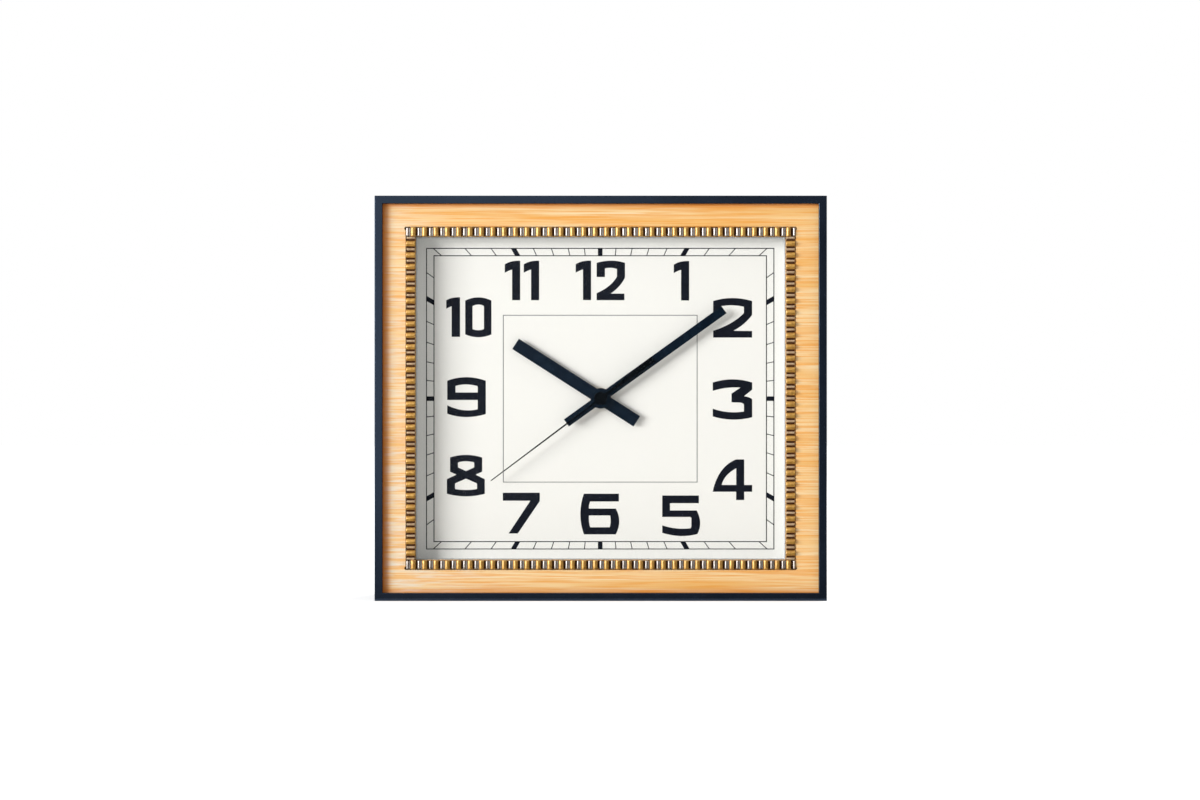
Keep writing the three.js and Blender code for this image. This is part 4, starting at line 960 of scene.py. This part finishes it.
# %% Plastics, rubber and ferrite
def moulded_plastic(name, pale, dark, roughness, grit, depth):
    """Moulded plastic. Spark-eroded tools leave a fine even grit on it, drawn coarse to show."""
    made, place = new_material(name)
    grain = add_node(made, "ShaderNodeTexNoise", {"Vector": place, "Scale": per(grit), "Detail": 3})
    tint = add_node(made, "ShaderNodeValToRGB", {0: grain.outputs[0]}, [(0.3, dark), (0.7, pale)])
    relief = add_node(made, "ShaderNodeBump", {
        "Height": grain.outputs[0], "Strength": 0.4, "Distance": depth * MM})
    shader = add_node(made, "ShaderNodeBsdfPrincipled", {
        "Base Color": tint.outputs[0], "Roughness": roughness, "Normal": relief.outputs[0]})
    add_node(made, "ShaderNodeOutputMaterial", {"Surface": shader.outputs[0]})
    return made


abs_black = moulded_plastic("moulded_black_abs", "#26282b", "#1d1e21", 0.48, 0.5, 0.03)
acetal = moulded_plastic("moulded_white_acetal", "#eceae2", "#e2dfd5", 0.42, 1.5, 0.01)
rubber = moulded_plastic("black_sheet_rubber", "#232220", "#191817", 0.85, 0.7, 0.05)
ferrite = moulded_plastic("bonded_ferrite", "#48484a", "#363638", 0.55, 0.5, 0.02)
solder_mask = moulded_plastic("green_solder_mask", "#2f6b44", "#24573a", 0.35, 1.8, 0.02)
print(abs_black.name, acetal.name, rubber.name, ferrite.name, solder_mask.name)

# %% Boards
def pressed_hardboard():
    """Pressed wood fibre. Brown, with short darker fibres lying every way."""
    made, place = new_material("pressed_hardboard")
    fibre = add_node(made, "ShaderNodeTexNoise", {
        "Vector": place, "Scale": per(2.2), "Detail": 6, "Roughness": 0.7, "Distortion": 1.5})
    tint = add_node(made, "ShaderNodeValToRGB", {0: fibre.outputs[0]}, [
        (0.3, "#7c5a3a"), (0.5, "#94704a"), (0.7, "#aa8459")])
    relief = add_node(made, "ShaderNodeBump", {
        "Height": fibre.outputs[0], "Strength": 0.4, "Distance": 0.1 * MM})
    shader = add_node(made, "ShaderNodeBsdfPrincipled", {
        "Base Color": tint.outputs[0], "Roughness": 0.7, "Normal": relief.outputs[0]})
    add_node(made, "ShaderNodeOutputMaterial", {"Surface": shader.outputs[0]})
    return made


def sawn_pine():
    """Sawn pine. Pale yellow wood with its grain along the depth of the case."""
    made, place = new_material("sawn_pine")
    stretch = add_node(made, "ShaderNodeMapping", {"Vector": place, "Scale": (per(2), per(30), per(2))})
    grain = add_node(made, "ShaderNodeTexNoise", {
        "Vector": stretch.outputs[0], "Scale": 1.0, "Detail": 4})
    tint = add_node(made, "ShaderNodeValToRGB", {0: grain.outputs[0]}, [
        (0.35, "#d9b37c"), (0.65, "#e8cd9f")])
    shader = add_node(made, "ShaderNodeBsdfPrincipled", {
        "Base Color": tint.outputs[0], "Roughness": 0.75})
    add_node(made, "ShaderNodeOutputMaterial", {"Surface": shader.outputs[0]})
    return made


hardboard = pressed_hardboard()
pine = sawn_pine()
print(hardboard.name, pine.name)

# %% [markdown]
# ## Movement, hanger and knob
# The moulded shell and its cover, the knob and the pressed hanger show through the back. Their
# CAD shapes are right, and eased copies give them the small radius of a mould or a press tool.

# %% Eased copies at the back
MOULD_ROUND = 0.35 * MM
PRESS_ROUND = 0.15 * MM
for node in ("movement_case", "movement_cover", "setting_knob"):
    print(eased(node, MOULD_ROUND, abs_black).name)
print(eased("hanger_plate", PRESS_ROUND, zinc).name)

# %% [markdown]
# ## Screws
# The CAD screws are plain. Real ones have a domed head with a cross recess and a thread. A turned
# piece is a stack of rings, and a ring need not be round: the recess is two rings whose radius
# follows the edge of a cross at each angle, so the whole screw is still one simple skin. The
# thread is a row of ridges. A true spiral would look the same here, since the wood hides it.

# %% Turned skins
SCREW_SIDES = 24
CELL_SIDES = 48


def turned(shape, stations, start, way, sides, finish=0):
    """Adds rings joined into a skin. A station is a radius, or a function of the angle, and a place."""
    side = way.orthogonal().normalized()
    other = way.cross(side)
    rings = []
    for radius, place in stations:
        centre = start + way * place
        if radius == 0:
            rings.append([shape.verts.new(centre)])
            continue
        ring = []
        for i in range(sides):
            turn = 2 * math.pi * i / sides
            reach = radius(turn) if callable(radius) else radius
            spoke = math.cos(turn) * side + math.sin(turn) * other
            ring.append(shape.verts.new(centre + reach * spoke))
        rings.append(ring)
    for near, far in zip(rings, rings[1:]):
        for i in range(sides):
            picks = ((near, i), (near, i + 1), (far, i + 1), (far, i))
            corners = [ring[k % len(ring)] for ring, k in picks]
            shape.faces.new(list(dict.fromkeys(corners))).material_index = finish


print("sides of a turned skin:", SCREW_SIDES, "for a screw,", CELL_SIDES, "for the cell")

# %% Pan-head screws
HEAD_HEIGHT = 1.2 * MM
HEAD_EDGE = 0.4 * MM
HEAD_FLAT = 1.5 * MM
DOME_STEPS = 5
CROSS_REACH = 1.3 * MM
CROSS_WIDTH = 0.64 * MM
CROSS_DEPTH = 0.8 * MM
CROSS_TAPER = 0.55
SHANK_RADIUS = 1.3 * MM
CORE_RADIUS = 1.0 * MM
THREAD_PITCH = 1.1 * MM
NECK = 1.4 * MM
POINT_RIDGES = 2


def cross_edge(turn):
    """How far the edge of the cross is from its middle at an angle."""
    lean = abs((turn + math.pi / 4) % (math.pi / 2) - math.pi / 4)
    side = CROSS_WIDTH / 2 / max(math.sin(lean), CROSS_WIDTH / 2 / CROSS_REACH)
    return min(CROSS_REACH, side)


def pan_head_screw(node):
    """A wood screw in the place of its CAD node: point, thread, neck, domed head and recess."""
    low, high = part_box(node)
    head_radius = (high.x - low.x) / 2
    length = high.y - low.y - HEAD_HEIGHT
    stations = [(0, 0)]
    ridges = round((length - NECK - THREAD_PITCH) / THREAD_PITCH)
    for i in range(1, ridges + 1):
        taper = min(1, i / POINT_RIDGES)
        stations += [
            (SHANK_RADIUS * taper, i * THREAD_PITCH),
            (CORE_RADIUS * taper, (i + 0.5) * THREAD_PITCH)]
    stations += [(SHANK_RADIUS, length - NECK), (SHANK_RADIUS, length), (head_radius, length)]
    for step in range(DOME_STEPS + 1):
        turn = math.pi / 2 * step / DOME_STEPS
        stations.append((
            HEAD_FLAT + (head_radius - HEAD_FLAT) * math.cos(turn),
            length + HEAD_EDGE + (HEAD_HEIGHT - HEAD_EDGE) * math.sin(turn)))
    top = length + HEAD_HEIGHT
    stations += [
        (cross_edge, top),
        (lambda turn: cross_edge(turn) * CROSS_TAPER, top - CROSS_DEPTH),
        (0, top - CROSS_DEPTH)]
    shape = bmesh.new()
    start = Vector(((low.x + high.x) / 2, low.y, (low.z + high.z) / 2))
    turned(shape, stations, start, Vector((0, 1, 0)), SCREW_SIDES)
    name = node + "_turned"
    body = frame["nodes"][node]["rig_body"]
    return add_piece(name, shaded(shape, name), body, [zinc], [node])


screws = [pan_head_screw(name) for name in frame["nodes"] if slot_of[name] == "zinc_screw"]
print(len(screws), "screws")

# %% [markdown]
# ## Battery
# An AA cell has a film jacket shrunk over a steel can. The film folds over the shoulders, and bare
# steel shows at the flat end and at the button. It carries no print here.

# %% AA cell
CELL_SHOULDER = 0.9 * MM
SHOULDER_STEPS = 4
FILM_FOLD = 1.1 * MM
DISH_DEPTH = 0.25 * MM
DISH_MARGIN = 1.2 * MM
BUTTON_RADIUS = 2.75 * MM
BUTTON_HEIGHT = 1 * MM
BUTTON_ROUND = 0.3 * MM


def shoulder(radius, place, way):
    """Rings round one shoulder of the jacket, from the folded edge to the full radius."""
    rings = [(radius - CELL_SHOULDER - FILM_FOLD, place)]
    for step in range(SHOULDER_STEPS + 1):
        turn = math.pi / 2 * step / SHOULDER_STEPS
        rings.append((
            radius - CELL_SHOULDER * (1 - math.sin(turn)),
            place + way * CELL_SHOULDER * (1 - math.cos(turn))))
    return rings


def battery_cell():
    """The cell as a turned jacket between two steel ends."""
    low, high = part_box("battery")
    radius = (high.z - low.z) / 2
    can = high.x - low.x - BUTTON_HEIGHT
    folded = radius - CELL_SHOULDER - FILM_FOLD
    start = Vector((low.x, (low.y + high.y) / 2, (low.z + high.z) / 2))
    way = Vector((1, 0, 0))
    shape = bmesh.new()
    flat_end = [
        (0, DISH_DEPTH), (folded - DISH_MARGIN, DISH_DEPTH),
        (folded - DISH_MARGIN / 2, 0), (folded, 0)]
    jacket = shoulder(radius, 0, 1) + shoulder(radius, can, -1)[::-1]
    button_end = [
        (folded, can), (BUTTON_RADIUS, can), (BUTTON_RADIUS, can + BUTTON_HEIGHT - BUTTON_ROUND),
        (BUTTON_RADIUS - BUTTON_ROUND, can + BUTTON_HEIGHT), (0, can + BUTTON_HEIGHT)]
    for finish, stations in ((0, flat_end), (1, jacket), (0, button_end)):
        turned(shape, stations, start, way, CELL_SIDES, finish)
    bmesh.ops.remove_doubles(shape, verts=shape.verts, dist=WELD)
    mesh = shaded(shape, "battery_cell")
    body = frame["nodes"]["battery"]["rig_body"]
    return add_piece("battery_cell", mesh, body, [zinc, film], ["battery"])


film = moulded_plastic("shrunk_green_film", "#4a6a58", "#3f5e4d", 0.32, 4, 0.01)
cell = battery_cell()
print(cell.name, len(cell.data.polygons), "faces")

# %% [markdown]
# ## Finishes for the nodes that keep their CAD shape
# What is left takes the finish of its slot.

# %% Carried-over nodes
FINISHES = {
    "face_veneer": veneer,
    "clear_glass": glass,
    "white_rail": eggshell,
    "dial_sheet": card,
    "brown_board": hardboard,
    "pine_block": pine,
    "zinc_plate": zinc,
    "bright_brass": brass,
    "black_rubber": rubber,
    "black_plastic": abs_black,
    "white_gear": acetal,
    "dark_magnet": ferrite,
    "copper_coil": copper,
    "green_circuit": solder_mask,
}
carried = [name for name, node in frame["nodes"].items() if not node.hide_render]
for name in carried:
    materials = frame["nodes"][name].data.materials
    materials.clear()
    materials.append(FINISHES[slot_of[name]])
print(len(carried), "CAD nodes keep their shape")
